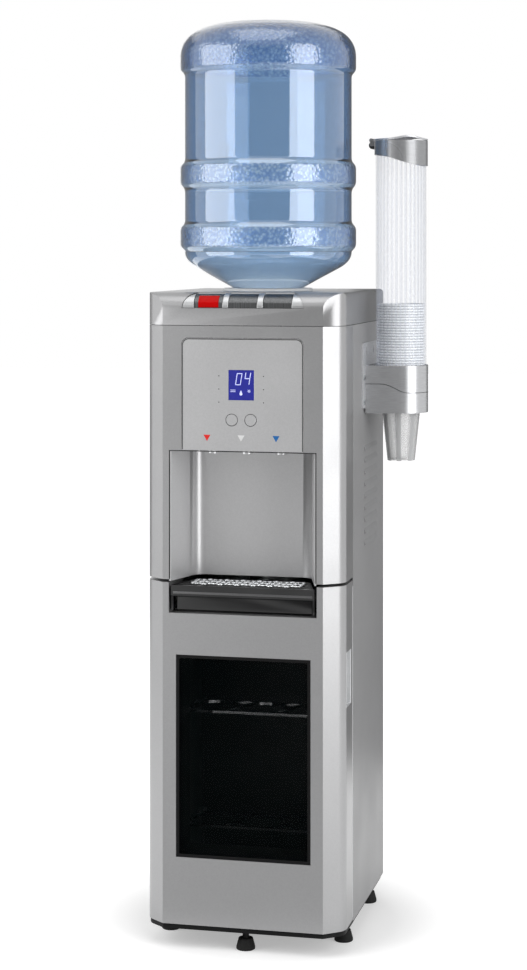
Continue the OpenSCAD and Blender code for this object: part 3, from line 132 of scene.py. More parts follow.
@dataclass(frozen=True)
class Finish:
    """A surface finish with a fine pattern in its colour, gloss and relief.

    grain_mm is the size of the pattern, relief_mm its depth, tone the share by which the colour wavers,
    and wear the share by which the roughness wavers over a hand's width. clear holds how much of a thin
    see-through wall shows where it faces the eye and where it is seen on edge, veil how much more of it shows
    where the pattern is high, and absorb the colour and the strength per metre with which a thick one takes
    up light. extra holds more of the shader's sockets with their values.
    """

    name: str
    color: str
    roughness: float
    metallic: float = 0.0
    ior: float = 1.5
    coat: float = 0.0
    grain: Grain = Grain.CLOUD
    grain_mm: float = 2.0
    relief_mm: float = 0.01
    tone: float = 0.05
    wear: float = 0.12
    extra: tuple = ()
    clear: tuple = ()
    veil: float = 0.0
    absorb: tuple = ()

    def vector(self, tree: Tree) -> Socket:
        """Gives the coordinates of the pattern, drawn out along the brushing where there is one.

        Args:
            tree: the material's nodes.
        Returns:
            The vector that the pattern reads.
        """
        place = add_node(tree, "ShaderNodeTexCoord").outputs["Object"]
        if self.grain not in STRETCH:
            return place
        inputs = {"Vector": place, "Scale": STRETCH[self.grain]}
        return add_node(tree, "ShaderNodeMapping", inputs).outputs["Vector"]

    def pattern(self, tree: Tree) -> Socket:
        """Lays the fine pattern.

        Args:
            tree: the material's nodes.
        Returns:
            The pattern as a value from 0 to 1.
        """
        inputs = {"Vector": self.vector(tree), "Scale": 1 / (self.grain_mm * MM)}
        if self.grain is Grain.CELLS:
            node = add_node(tree, "ShaderNodeTexVoronoi", inputs)
            return add_node(tree, "ShaderNodeSeparateColor", {"Color": node.outputs["Color"]}).outputs["Red"]
        return add_node(tree, "ShaderNodeTexNoise", {**inputs, "Detail": 2.0}).outputs["Fac"]

    def two_tone(self, tree: Tree, fine: Socket, stops: tuple[float, float], low: Color,
                 high: Color) -> Socket:
        """Goes from one colour to another as the fine pattern rises.

        Args:
            tree: the material's nodes.
            fine: the fine pattern.
            stops: its values where the change starts and ends.
            low: the colour before the change.
            high: the colour after it.
        Returns:
            The colour.
        """
        inputs = {"Value": fine, "From Min": stops[0], "From Max": stops[1]}
        share = add_node(tree, "ShaderNodeMapRange", inputs).outputs["Result"]
        inputs = {MIX_SHARE: share, MIX_LOW: low, MIX_HIGH: high}
        return add_node(tree, "ShaderNodeMix", inputs, data_type="RGBA").outputs[MIX_RESULT]

    def color_input(self, tree: Tree, fine: Socket) -> Socket:
        """Gives the colour, wavering with the fine pattern."""
        low, high = shade(self.color, 1 - self.tone), shade(self.color, 1 + self.tone)
        return self.two_tone(tree, fine, TONE_STOPS, low, high)

    def shader(self, tree: Tree) -> bpy.types.Node:
        """Builds the shader and its patterns.

        Args:
            tree: the material's nodes.
        Returns:
            The shader's node.
        """
        fine = self.pattern(tree)
        place = add_node(tree, "ShaderNodeTexCoord").outputs["Object"]
        inputs = {"Vector": place, "Scale": 1 / (HAND_MM * MM), "Detail": 1.0}
        hand = add_node(tree, "ShaderNodeTexNoise", inputs).outputs["Fac"]
        inputs = {"Value": hand, "From Min": WEAR_STOPS[0], "From Max": WEAR_STOPS[1],
                  "To Min": self.roughness * (1 - self.wear), "To Max": self.roughness * (1 + self.wear)}
        rough = add_node(tree, "ShaderNodeMapRange", inputs,
                         interpolation_type="SMOOTHSTEP").outputs["Result"]
        inputs = {"Height": fine, "Strength": 1.0, "Distance": self.relief_mm * MM}
        bump = add_node(tree, "ShaderNodeBump", inputs).outputs["Normal"]
        inputs = {"Base Color": self.color_input(tree, fine), "Roughness": rough, "Metallic": self.metallic,
                  "IOR": self.ior, "Coat Weight": self.coat, "Coat Roughness": COAT_ROUGHNESS, "Normal": bump,
                  "Coat Normal": bump, **dict(self.extra)}
        if self.clear:
            edge = add_node(tree, "ShaderNodeLayerWeight", {"Blend": EDGE_BLEND}).outputs["Facing"]
            shown = add_node(tree, "ShaderNodeMapRange", {
                "Value": edge, "To Min": self.clear[0], "To Max": self.clear[1]}).outputs["Result"]
            inputs["Alpha"] = add_node(tree, "ShaderNodeMath", {0: fine, 1: self.veil, 2: shown},
                                       operation="MULTIPLY_ADD").outputs[0]
        return add_node(tree, "ShaderNodeBsdfPrincipled", inputs)

    def material(self) -> bpy.types.Material:
        """Gives the material, making it the first time.

        Returns:
            The material of this finish's name.
        """
        found = bpy.data.materials.get(self.name)
        if found:
            return found
        made = bpy.data.materials.new(self.name)
        made.use_nodes = True
        tree = made.node_tree
        tree.nodes.clear()
        outputs = {"Surface": self.shader(tree).outputs["BSDF"]}
        if self.absorb:
            color, density = self.absorb
            inputs = {"Color": linear(color), "Density": density}
            outputs["Volume"] = add_node(tree, "ShaderNodeVolumeAbsorption", inputs).outputs["Volume"]
        add_node(tree, "ShaderNodeOutputMaterial", outputs)
        return made


@dataclass(frozen=True)
class PebbledBottle(Finish):
    """Blow-moulded polycarbonate: clear and tinted, smooth on its walls and pebbled on its bands and crown.

    bands holds the lowest and highest z of each pebbled band, in metres, and the colour between pebbles is
    painted shade, a deeper blue in the grooves.
    """

    bands: tuple = ()
    band_roughness: float = 0.1
    groove_shade: str = "#b6cdea"
    groove_shade_stops: tuple[float, float] = (0.35, 0.7)

    def inside(self, tree: Tree) -> Socket:
        """Tells the pebbled bands from the smooth walls.

        Args:
            tree: the material's nodes.
        Returns:
            1 at the heights of the bands and 0 elsewhere.
        """
        place = add_node(tree, "ShaderNodeTexCoord").outputs["Object"]
        height = add_node(tree, "ShaderNodeSeparateXYZ", {"Vector": place}).outputs["Z"]
        inside = None
        for low, high in self.bands:
            above = add_node(tree, "ShaderNodeMath", {0: height, 1: low}, operation="GREATER_THAN").outputs[0]
            below = add_node(tree, "ShaderNodeMath", {0: height, 1: high}, operation="LESS_THAN").outputs[0]
            both = add_node(tree, "ShaderNodeMath", {0: above, 1: below}, operation="MULTIPLY").outputs[0]
            if inside is None:
                inside = both
            else:
                inside = add_node(tree, "ShaderNodeMath", {0: inside, 1: both}, operation="ADD").outputs[0]
        return inside

    def pattern(self, tree: Tree) -> Socket:
        """Lays the pebbles, kept to the heights of the bands.

        Args:
            tree: the material's nodes.
        Returns:
            1 on the pebbles and the smooth walls, falling to 0 in the grooves.
        """
        place = add_node(tree, "ShaderNodeTexCoord").outputs["Object"]
        inputs = {"Vector": place, "Scale": 1 / (self.grain_mm * MM)}
        fine = add_node(tree, "ShaderNodeTexVoronoi", inputs).outputs["Distance"]
        inputs = {0: fine, 1: self.inside(tree)}
        grooves = add_node(tree, "ShaderNodeMath", inputs, operation="MULTIPLY").outputs[0]
        return add_node(tree, "ShaderNodeMath", {0: 1.0, 1: grooves}, operation="SUBTRACT").outputs[0]

    def color_input(self, tree: Tree, fine: Socket) -> Socket:
        """Gives the colour, with painted shade deeper in the grooves between the pebbles."""
        return self.two_tone(tree, fine, self.groove_shade_stops, linear(self.groove_shade), linear(self.color))

    def shader(self, tree: Tree) -> bpy.types.Node:
        """Builds the shader, with the bands a little frosted.

        Args:
            tree: the material's nodes.
        Returns:
            The shader's node.
        """
        made = super().shader(tree)
        rough = add_node(tree, "ShaderNodeMapRange", {
            "Value": self.inside(tree), "To Min": self.roughness, "To Max": self.band_roughness})
        tree.links.new(rough.outputs["Result"], made.inputs["Roughness"])
        return made


@dataclass(frozen=True)
class StripedClearWall(Finish):
    """Clear wall with lines along it, spaced evenly round its axis: thicker draw lines on the tube, painted
    highlights on the cup.
    """

    axis: tuple = (0.0, 0.0)
    stripe_count: int = 26
    stripe_stops: tuple[float, float] = (0.2, 0.6)

    def pattern(self, tree: Tree) -> Socket:
        """Lays the lines.

        Args:
            tree: the material's nodes.
        Returns:
            0 between the lines and 1 on them.
        """
        place = add_node(tree, "ShaderNodeTexCoord").outputs["Object"]
        moved = add_node(tree, "ShaderNodeVectorMath", {0: place, 1: (*self.axis, 0.0)}, operation="SUBTRACT")
        parts = add_node(tree, "ShaderNodeSeparateXYZ", {"Vector": moved.outputs["Vector"]}).outputs
        inputs = {0: parts["Y"], 1: parts["X"]}
        turn = add_node(tree, "ShaderNodeMath", inputs, operation="ARCTAN2").outputs[0]
        inputs = {0: turn, 1: float(self.stripe_count)}
        count = add_node(tree, "ShaderNodeMath", inputs, operation="MULTIPLY").outputs[0]
        wave = add_node(tree, "ShaderNodeMath", {0: count}, operation="SINE").outputs[0]
        inputs = {"Value": wave, "From Min": self.stripe_stops[0], "From Max": self.stripe_stops[1]}
        return add_node(tree, "ShaderNodeMapRange", inputs, interpolation_type="SMOOTHSTEP").outputs["Result"]


@dataclass(frozen=True)
class NestedLips(Finish):
    """Stacked thin cups: pale rolled lips, with painted shade as a darker line in the gap under each.

    lip_z is the middle of one lip, in metres, and step_mm the distance between lips.
    """

    lip_z: float = 0.0
    step_mm: float = 4.3
    gap_shade_stops: tuple[float, float] = (-0.7, 0.5)

    def pattern(self, tree: Tree) -> Socket:
        """Lays the lips.

        Args:
            tree: the material's nodes.
        Returns:
            0 in the gaps and 1 on the lips.
        """
        place = add_node(tree, "ShaderNodeTexCoord").outputs["Object"]
        height = add_node(tree, "ShaderNodeSeparateXYZ", {"Vector": place}).outputs["Z"]
        turns = math.tau / (self.step_mm * MM)
        inputs = {0: height, 1: turns, 2: -turns * self.lip_z}
        phase = add_node(tree, "ShaderNodeMath", inputs, operation="MULTIPLY_ADD").outputs[0]
        wave = add_node(tree, "ShaderNodeMath", {0: phase}, operation="COSINE").outputs[0]
        inputs = {"Value": wave, "From Min": self.gap_shade_stops[0], "From Max": self.gap_shade_stops[1]}
        return add_node(tree, "ShaderNodeMapRange", inputs, interpolation_type="SMOOTHSTEP").outputs["Result"]


# Angle between faces, in degrees, up to which an edge looks smooth
SMOOTH_ANGLE = 35.0
# Angle between triangles of the CAD, in degrees, up to which they are one flat face
FLAT_ANGLE = 0.2
# Distance in metres within which two corners are one, in a new piece and in a CAD node
SAME, SAME_IN_CAD = 1e-6, 2e-6
# Faces across a rounded edge, and sides of a thin wire
ROUND_STEPS = 2
WIRE_SIDES = 6
# Share of a side that a rounded corner may take up
CORNER_SHARE = 0.45


def new_mesh(name: str) -> tuple[Piece, Mesh]:
    """Starts a piece.

    Args:
        name: the piece's name.
    Returns:
        An empty object and the mesh that will fill it.
    """
    made = bpy.data.objects.new(name, bpy.data.meshes.new(name))
    bpy.context.scene.collection.objects.link(made)
    return made, bmesh.new()


def close_mesh(piece: Piece, bm: Mesh, angle: float = SMOOTH_ANGLE, merge: bool = True) -> None:
    """Fills a piece with its mesh and shades it smooth up to an angle.

    Args:
        piece: the object to fill.
        bm: its mesh, which is freed.
        angle: largest turn between faces, in degrees, that still looks smooth.
        merge: whether doubled corners are merged and the faces turned outwards.
    """
    if merge:
        bmesh.ops.remove_doubles(bm, verts=bm.verts, dist=SAME)
        bmesh.ops.recalc_face_normals(bm, faces=bm.faces)
    for face in bm.faces:
        face.smooth = True
    bm.to_mesh(piece.data)
    bm.free()
    piece.data.set_sharp_from_angle(angle=math.radians(angle))


def dress(piece: Piece, finish: Finish, body: str, replaces: str = "") -> None:
    """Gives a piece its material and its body.

    Args:
        piece: the piece.
        finish: its finish.
        body: the body that it rides on.
        replaces: the CAD node that it stands for, if there is one.
    """
    piece.data.materials.clear()
    piece.data.materials.append(finish.material())
    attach(piece, body)
    if replaces:
        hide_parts(replaces)
    LOG.info("%s rides on %s with %s", piece.name, body, finish.name)


def smooth_copy(node: str, finish: Finish, angle: float = SMOOTH_ANGLE, round_mm: float = 0.0) -> Piece:
    """Makes a smooth-shaded copy of a CAD node, with its sharp edges rounded where a radius is given.

    Args:
        node: the CAD node.
        finish: its finish.
        angle: largest turn between faces that still looks smooth, in degrees.
        round_mm: rounding of the sharp edges.
    Returns:
        The piece, which stands for the node.
    """
    piece, bm = new_mesh(node + "_piece")
    bm.from_mesh(frame["nodes"][node].data)
    bmesh.ops.remove_doubles(bm, verts=bm.verts, dist=SAME_IN_CAD)
    bmesh.ops.dissolve_limit(bm, angle_limit=math.radians(FLAT_ANGLE), verts=bm.verts, edges=bm.edges)
    close_mesh(piece, bm, angle, merge=False)
    if round_mm:
        rounding = piece.modifiers.new("edge_rounding", "BEVEL")
        rounding.width = round_mm * MM
        rounding.segments = ROUND_STEPS
        rounding.limit_method = "ANGLE"
        rounding.angle_limit = math.radians(angle)
        rounding.harden_normals = True
        rounding.use_clamp_overlap = True
    else:
        flat = piece.modifiers.new("flat_faces", "WEIGHTED_NORMAL")
        flat.keep_sharp = True
    dress(piece, finish, BODY_OF[node], node)
    return piece


def bar(bm: Mesh, low: Iterable[float], high: Iterable[float], round_mm: float = 0.0,
        turn: Matrix | None = None) -> None:
    """Adds a box.

    Args:
        bm: the mesh.
        low: its lowest corner, in metres.
        high: its highest corner, in metres.
        round_mm: rounding of its edges.
        turn: a turn about its middle.
    """
    low, high = Vector(low), Vector(high)
    made = bmesh.ops.create_cube(bm, size=1.0)["verts"]
    bmesh.ops.scale(bm, vec=high - low, verts=made)
    if round_mm:
        edges = list({edge for vert in made for edge in vert.link_edges})
        made = bmesh.ops.bevel(bm, geom=edges, offset=round_mm * MM, offset_type="OFFSET", affect="EDGES",
                               segments=ROUND_STEPS, profile=0.5, material=-1, clamp_overlap=True)["verts"]
    if turn is not None:
        bmesh.ops.transform(bm, matrix=turn, verts=made)
    bmesh.ops.translate(bm, vec=(low + high) / 2, verts=made)


def spin_profile(bm: Mesh, points: Outline, center: tuple[float, float], steps: int = 96) -> None:
    """Turns an outline of radius and height about an upright axis.

    Args:
        bm: the mesh.
        points: radius and height of each point, in metres.
        center: x and y of the axis.
        steps: faces round the turn.
    """
    verts = [bm.verts.new((center[0] + r, center[1], z)) for r, z in points]
    edges = [bm.edges.new(pair) for pair in zip(verts, verts[1:])]
    bmesh.ops.spin(bm, geom=verts + edges, cent=(*center, 0), axis=(0, 0, 1), angle=math.tau, steps=steps,
                   use_merge=True, use_duplicate=False)
    bmesh.ops.remove_doubles(bm, verts=bm.verts, dist=SAME)


def bend(start: Vector, corner: Vector, end: Vector, steps: int) -> Outline:
    """Gives a smooth bend in place of a corner.

    Args:
        start: where it begins.
        corner: the corner that it cuts off.
        end: where it ends.
        steps: straight pieces along it.
    Returns:
        The points of the bend.
    """
    shares = (i / steps for i in range(steps + 1))
    return [tuple(start * (1 - u) ** 2 + corner * 2 * u * (1 - u) + end * u ** 2) for u in shares]


def rounded(points: Outline, radius: float, steps: int = 4) -> Outline:
    """Rounds the inner corners of an open outline.

    Args:
        points: the outline's points.
        radius: how far from a corner the rounding starts, at most.
        steps: straight pieces along each rounding.
    Returns:
        The outline with its corners rounded.
    """
    made = [points[0]]
    for before, corner, after in zip(points, points[1:], points[2:]):
        c, a, b = Vector(corner), Vector(before), Vector(after)
        reach = min(radius, (a - c).length * CORNER_SHARE, (b - c).length * CORNER_SHARE)
        made += bend(c + (a - c).normalized() * reach, c, c + (b - c).normalized() * reach, steps)
    return made + [points[-1]]


def plate(bm: Mesh, outline: Outline, y: float, depth: float) -> None:
    """Adds a flat plate on an upright plane.

    Args:
        bm: the mesh.
        outline: x and z of each corner, in metres.
        y: its front.
        depth: how far it runs back.
    """
    face = bm.faces.new([bm.verts.new((x, y, z)) for x, z in outline])
    made = bmesh.ops.extrude_face_region(bm, geom=[face])["geom"]
    bmesh.ops.translate(bm, vec=(0, depth, 0), verts=[v for v in made if isinstance(v, bmesh.types.BMVert)])


def rod(bm: Mesh, start: Vector, end: Vector, radius: float, sides: int = 16) -> None:
    """Adds a round rod.

    Args:
        bm: the mesh.
        start: the middle of one end, in metres.
        end: the middle of the other end.
        radius: its radius.
        sides: faces round it.
    """
    run = end - start
    place = Matrix.Translation((start + end) / 2) @ run.to_track_quat("Z", "Y").to_matrix().to_4x4()
    bmesh.ops.create_cone(bm, cap_ends=True, segments=sides, radius1=radius, radius2=radius, depth=run.length,
                          matrix=place)


def curl(bm: Mesh, center: Iterable[float], radius: float, wire: float, start: float, sweep: float,
         steps: int = 12) -> None:
    """Adds a level arc of round wire.

    Args:
        bm: the mesh.
        center: middle of the arc, in metres.
        radius: from the middle to the wire's own middle.
        wire: radius of the wire.
        start: where the arc begins, in degrees from +X.
        sweep: how far it turns, in degrees.
        steps: faces along the arc.
    """
    center = Vector(center)
    whole = abs(sweep) >= 360
    place = (Matrix.Translation(center) @ Matrix.Rotation(math.radians(start), 4, "Z")
             @ Matrix.Translation((radius, 0, 0)) @ Matrix.Rotation(math.radians(90), 4, "X"))
    ring = bmesh.ops.create_circle(bm, cap_ends=not whole, segments=WIRE_SIDES, radius=wire,
                                   matrix=place)["verts"]
    edges = list({edge for vert in ring for edge in vert.link_edges})
    faces = list({face for vert in ring for face in vert.link_faces})
    bmesh.ops.spin(bm, geom=ring + edges + faces, cent=center, axis=(0, 0, 1), angle=math.radians(sweep),
                   steps=steps, use_merge=whole, use_duplicate=False)


# A grain finer than about a millimetre doesn't show in the render, so lacquer flake, moulded grain and
# brushing are drawn coarser than they are

# Silver lacquer on moulded ABS: a soft metallic sheen that brightens towards the light
SILVER = Finish("silver_lacquered_abs", "#9e9e9f", 0.31, metallic=0.6, grain_mm=2.2, relief_mm=0.006,
                tone=0.03)
# The same lacquer with a finer satin on the control panel
PANEL = Finish("satin_silver_abs", "#b4b4b5", 0.36, metallic=0.4, grain_mm=2.0, relief_mm=0.008, tone=0.04)
# Sprayed metallic paint in the niche, smoother than the front: its coves show clear bands of light
NICHE = Finish("gloss_silver_abs", "#c0c0c1", 0.3, metallic=0.4, grain_mm=2.4, relief_mm=0.004, tone=0.03)
# Pale lacquered frame round the keys
BEZEL = Finish("pale_silver_abs", "#b4b5b6", 0.3, metallic=0.8, grain_mm=2.0, relief_mm=0.004, tone=0.03)
# Coil-coated steel sheet: even grey with a faint orange peel
SIDE = Finish("coil_coated_steel", "#8f8f90", 0.42, grain_mm=3.5, relief_mm=0.02, tone=0.03,
              extra=(("Specular IOR Level", 0.35),))
# Hot-dip zinc: crystal spangle of some 6 mm
ZINC = Finish("zinc_coated_steel", "#a7abad", 0.36, metallic=1.0, grain=Grain.CELLS, grain_mm=6.0, tone=0.1)
# Stoved black enamel: smooth, half gloss
ENAMEL = Finish("stoved_black_enamel", "#17181a", 0.34, grain_mm=4.0, relief_mm=0.02, tone=0.15)
# Moulded black polypropylene with a fine spark-eroded grain
BLACK = Finish("grained_black_polypropylene", "#161617", 0.5, grain_mm=1.8, relief_mm=0.04, tone=0.2)
# Polished black ABS: deep and mirror-like, with faint wiping marks
GLOSS = Finish("polished_black_abs", "#08080a", 0.12, coat=0.1, grain_mm=9.0, relief_mm=0.004, tone=0.2,
               wear=0.5)
# Vacuum-formed dark polystyrene inside the bottle cabinet
LINER = Finish("vacuum_formed_polystyrene", "#26282a", 0.4, grain_mm=3.0, relief_mm=0.02, tone=0.12)
# Bright nickel-chrome plating: a clean mirror with the faintest haze
CHROME = Finish("nickel_chrome_plate", "#d3d5d7", 0.07, metallic=1.0, grain_mm=8.0, relief_mm=0.002,
                tone=0.02)
# Satin chrome of taps and door grip: pale, without a clear mirror. The same colours the painted highlight on
# the door's edge
SATIN_CHROME_AND_PAINTED_HIGHLIGHT = Finish("satin_chrome_and_painted_highlight", "#d4d5d6", 0.35, metallic=0.5, grain_mm=3.0, relief_mm=0.006,
                      tone=0.03)
# Black enamelled sheet of the grate, dull between the bright scrolls
GRATE = Finish("dull_black_enamel", "#0d0d0e", 0.5, grain_mm=3.0, relief_mm=0.02, tone=0.15,
               extra=(("Specular IOR Level", 0.2),))
# Satin black ABS of the window's frame and the underside: dark without a mirror
TRIM = Finish("satin_black_abs", "#0c0c0d", 0.5, grain_mm=2.2, relief_mm=0.02, tone=0.2,
              extra=(("Specular IOR Level", 0.15),))
# Satin bead along the tray's lip, in a grey that paints the light that its ledge catches
LIP_BEAD_PAINTED_HIGHLIGHT = Finish("black_lip_bead_painted_highlight", "#4f4f50", 0.35, grain_mm=3.0, relief_mm=0.01, tone=0.1)
# Dull rolled steel of the wall plate and the tube's lid
DULL_STEEL = Finish("rolled_stainless", "#c0c1c4", 0.36, metallic=0.4, grain=Grain.BRUSHED_ROUND,
                    grain_mm=1.2, relief_mm=0.012, tone=0.1)
# Stainless sheet brushed round the holder: fine level scratches that draw the light out
STEEL = Finish("brushed_stainless", "#b4b5b7", 0.22, metallic=0.62, grain=Grain.BRUSHED_ROUND, grain_mm=0.9,
               relief_mm=0.012, tone=0.1, extra=(("Anisotropic", 0.5),))
# The cap's sheet, brushed the same way and darker
CAP_STEEL = Finish("dark_brushed_stainless", "#939496", 0.3, metallic=0.42, grain=Grain.BRUSHED_ROUND,
                   grain_mm=0.9, relief_mm=0.012, tone=0.1)
# Stainless key caps brushed upright: coarse dark grain
KEY_STEEL = Finish("upright_brushed_stainless", "#5c5d5e", 0.33, metallic=1.0, grain=Grain.BRUSHED_Z,
                   grain_mm=1.3, relief_mm=0.02, tone=0.35)
# Drawn stainless tanks: plain and a little dull
TANK = Finish("drawn_stainless", "#b5b7b8", 0.32, metallic=1.0, grain=Grain.BRUSHED_ROUND, grain_mm=1.6,
              relief_mm=0.01, tone=0.06)
# Thin drawn polypropylene cup: milky, half see-through
CUP = Finish("thermoformed_polypropylene", "#fafafa", 0.18, grain=Grain.BRUSHED_ROUND, grain_mm=3.0,
             relief_mm=0.03, tone=0.03, clear=(0.22, 0.8))
# Smoked float glass: almost black, with a cool green edge
SMOKED = Finish("smoked_float_glass", "#030708", 0.03, grain_mm=30.0, relief_mm=0.0, tone=0.1, wear=0.3,
                clear=(0.4, 0.93), extra=(("Specular IOR Level", 0.05),))
# Blue polymer of the bottle's snap cap
CAP_BLUE = Finish("blue_polyethylene", "#3f6fb4", 0.4, grain_mm=2.0, relief_mm=0.02, tone=0.08)
# Backlit blue display under a clear window: even, with a slight cloud
DISPLAY = Finish("backlit_display", "#1d2180", 0.15, grain_mm=14.0, relief_mm=0.0, tone=0.12,
                 extra=(("Emission Color", linear("#343ab0")), ("Emission Strength", 0.17)))
# Lit segments of the display
LIT = Finish("lit_display_segments", "#c4caf2", 0.3, tone=0.02,
             extra=(("Emission Color", linear("#d6dbfa")), ("Emission Strength", 0.35)))
# Screen-printed inks on the panel: thin, even and half matt
INK_RED = Finish("screen_ink_red", "#d81a14", 0.4, tone=0.05)
INK_PALE = Finish("screen_ink_pale", "#d9d9d9", 0.4, tone=0.03)
INK_BLUE = Finish("screen_ink_blue", "#0f5f9f", 0.4, tone=0.05)
# The dark ink prints the status dots and draws the rings round the buttons, and it paints the shadow lines in
# the gaps round the panel's face and along the holder's joint
DARK_INK_AND_PAINTED_SHADE = Finish("dark_ink_and_painted_shade", "#2c2c2d", 0.4, tone=0.05)
# Solder-resist green on glass fibre
BOARD = Finish("solder_resist_glass_fibre", "#1d5a38", 0.3, grain_mm=2.5, relief_mm=0.03, tone=0.15)
# White moulded polypropylene of the bottle seat
WHITE = Finish("white_polypropylene", "#e2e3e3", 0.38, grain_mm=3.0, relief_mm=0.02, tone=0.02)
# Milky silicone hose
SILICONE = Finish("extruded_silicone", "#dedbd2", 0.45, grain_mm=4.0, relief_mm=0.03, tone=0.05)
# Moulded black rubber: dull, with a bloom of dust. The same colours the painted shadow line round the niche's
# opening
RUBBER_AND_PAINTED_SHADE = Finish("black_rubber_and_painted_shade", "#151515", 0.7, grain_mm=2.2, relief_mm=0.06, tone=0.3,
                extra=(("Specular IOR Level", 0.25),))
# Glossy red ABS of the safety lock and the hot rocker
RED = Finish("gloss_red_abs", "#bd0303", 0.3, grain_mm=6.0, relief_mm=0.01, tone=0.06,
             extra=(("Specular IOR Level", 0.1),))
# Glossy green rocker
GREEN = Finish("gloss_green_abs", "#1d7a3a", 0.25, coat=0.3, grain_mm=6.0, relief_mm=0.01, tone=0.06)

# Finishes of the CAD nodes that are dressed by their slot alone
FINISH_OF_SLOT = {
    "side_paint": SIDE, "zinc_sheet": ZINC, "black_paint": ENAMEL, "black_plastic": BLACK,
    "black_gloss": GLOSS, "liner_plastic": LINER, "chrome": CHROME, "tank_steel": TANK,
    "circuit_board": BOARD, "white_plastic": WHITE, "silicone_tube": SILICONE, "rubber": RUBBER_AND_PAINTED_SHADE,
    "red_plastic": RED, "green_plastic": GREEN,
}


def finish_of(node: str) -> Finish:
    """Gives the finish that a CAD node's slot stands for."""
    return FINISH_OF_SLOT[SLOT_OF[node]]


def around(azimuth: float, distance: float, height: float) -> Vector:
    """Gives a place round the object.

    Args:
        azimuth: degrees from the front towards +X.
        distance: metres from the object's axis.
        height: metres above the floor.
    Returns:
        The place, in metres.
    """
    turn = math.radians(azimuth)
    return Vector((distance * math.sin(turn), -distance * math.cos(turn), height))


@dataclass(frozen=True)
class SoftBox:
    """A soft box that looks at the object. Metres, and azimuth in degrees from the front towards +X."""

    name: str
    azimuth: float
    distance: float
    height: float
    size: tuple[float, float]
    watts: float
    aim: tuple[float, float, float] = (0.0, 0.0, 0.75)

    def build(self) -> None:
        """Adds the light."""
        data = bpy.data.lights.new(self.name, "AREA")
        data.shape = "RECTANGLE"
        data.size, data.size_y = self.size
        data.energy = self.watts
        made = bpy.data.objects.new(self.name, data)
        made.location = around(self.azimuth, self.distance, self.height)
        made.rotation_euler = (Vector(self.aim) - made.location).to_track_quat("-Z", "Y").to_euler()
        made.visible_camera = False
        bpy.context.scene.collection.objects.link(made)


@dataclass(frozen=True)
class Card:
    """A card that only shows as a reflection in gloss and metal. Placed as a soft box is.

    It stands upright and faces the object, or it lies level.
    """

    name: str
    azimuth: float
    distance: float
    height: float
    size: tuple[float, float]
    color: str
    level: bool = False
    roughness: float = 0.9

    def build(self) -> None:
        """Adds the card."""
        card, bm = new_mesh(self.name)
        made = bmesh.ops.create_grid(bm, x_segments=1, y_segments=1, size=0.5)["verts"]
        bmesh.ops.scale(bm, vec=(*self.size, 1), verts=made)
        place = (Matrix.Translation(around(self.azimuth, self.distance, self.height))
                 @ Matrix.Rotation(math.radians(self.azimuth), 4, "Z")
                 @ Matrix.Rotation(math.radians(0 if self.level else 90), 4, "X"))
        bmesh.ops.transform(bm, matrix=place, verts=made)
        close_mesh(card, bm)
        paper = Finish(self.name + "_paper", self.color, self.roughness, tone=0.1)
        card.data.materials.append(paper.material())
        card.visible_camera = card.visible_diffuse = card.visible_shadow = card.visible_transmission = False


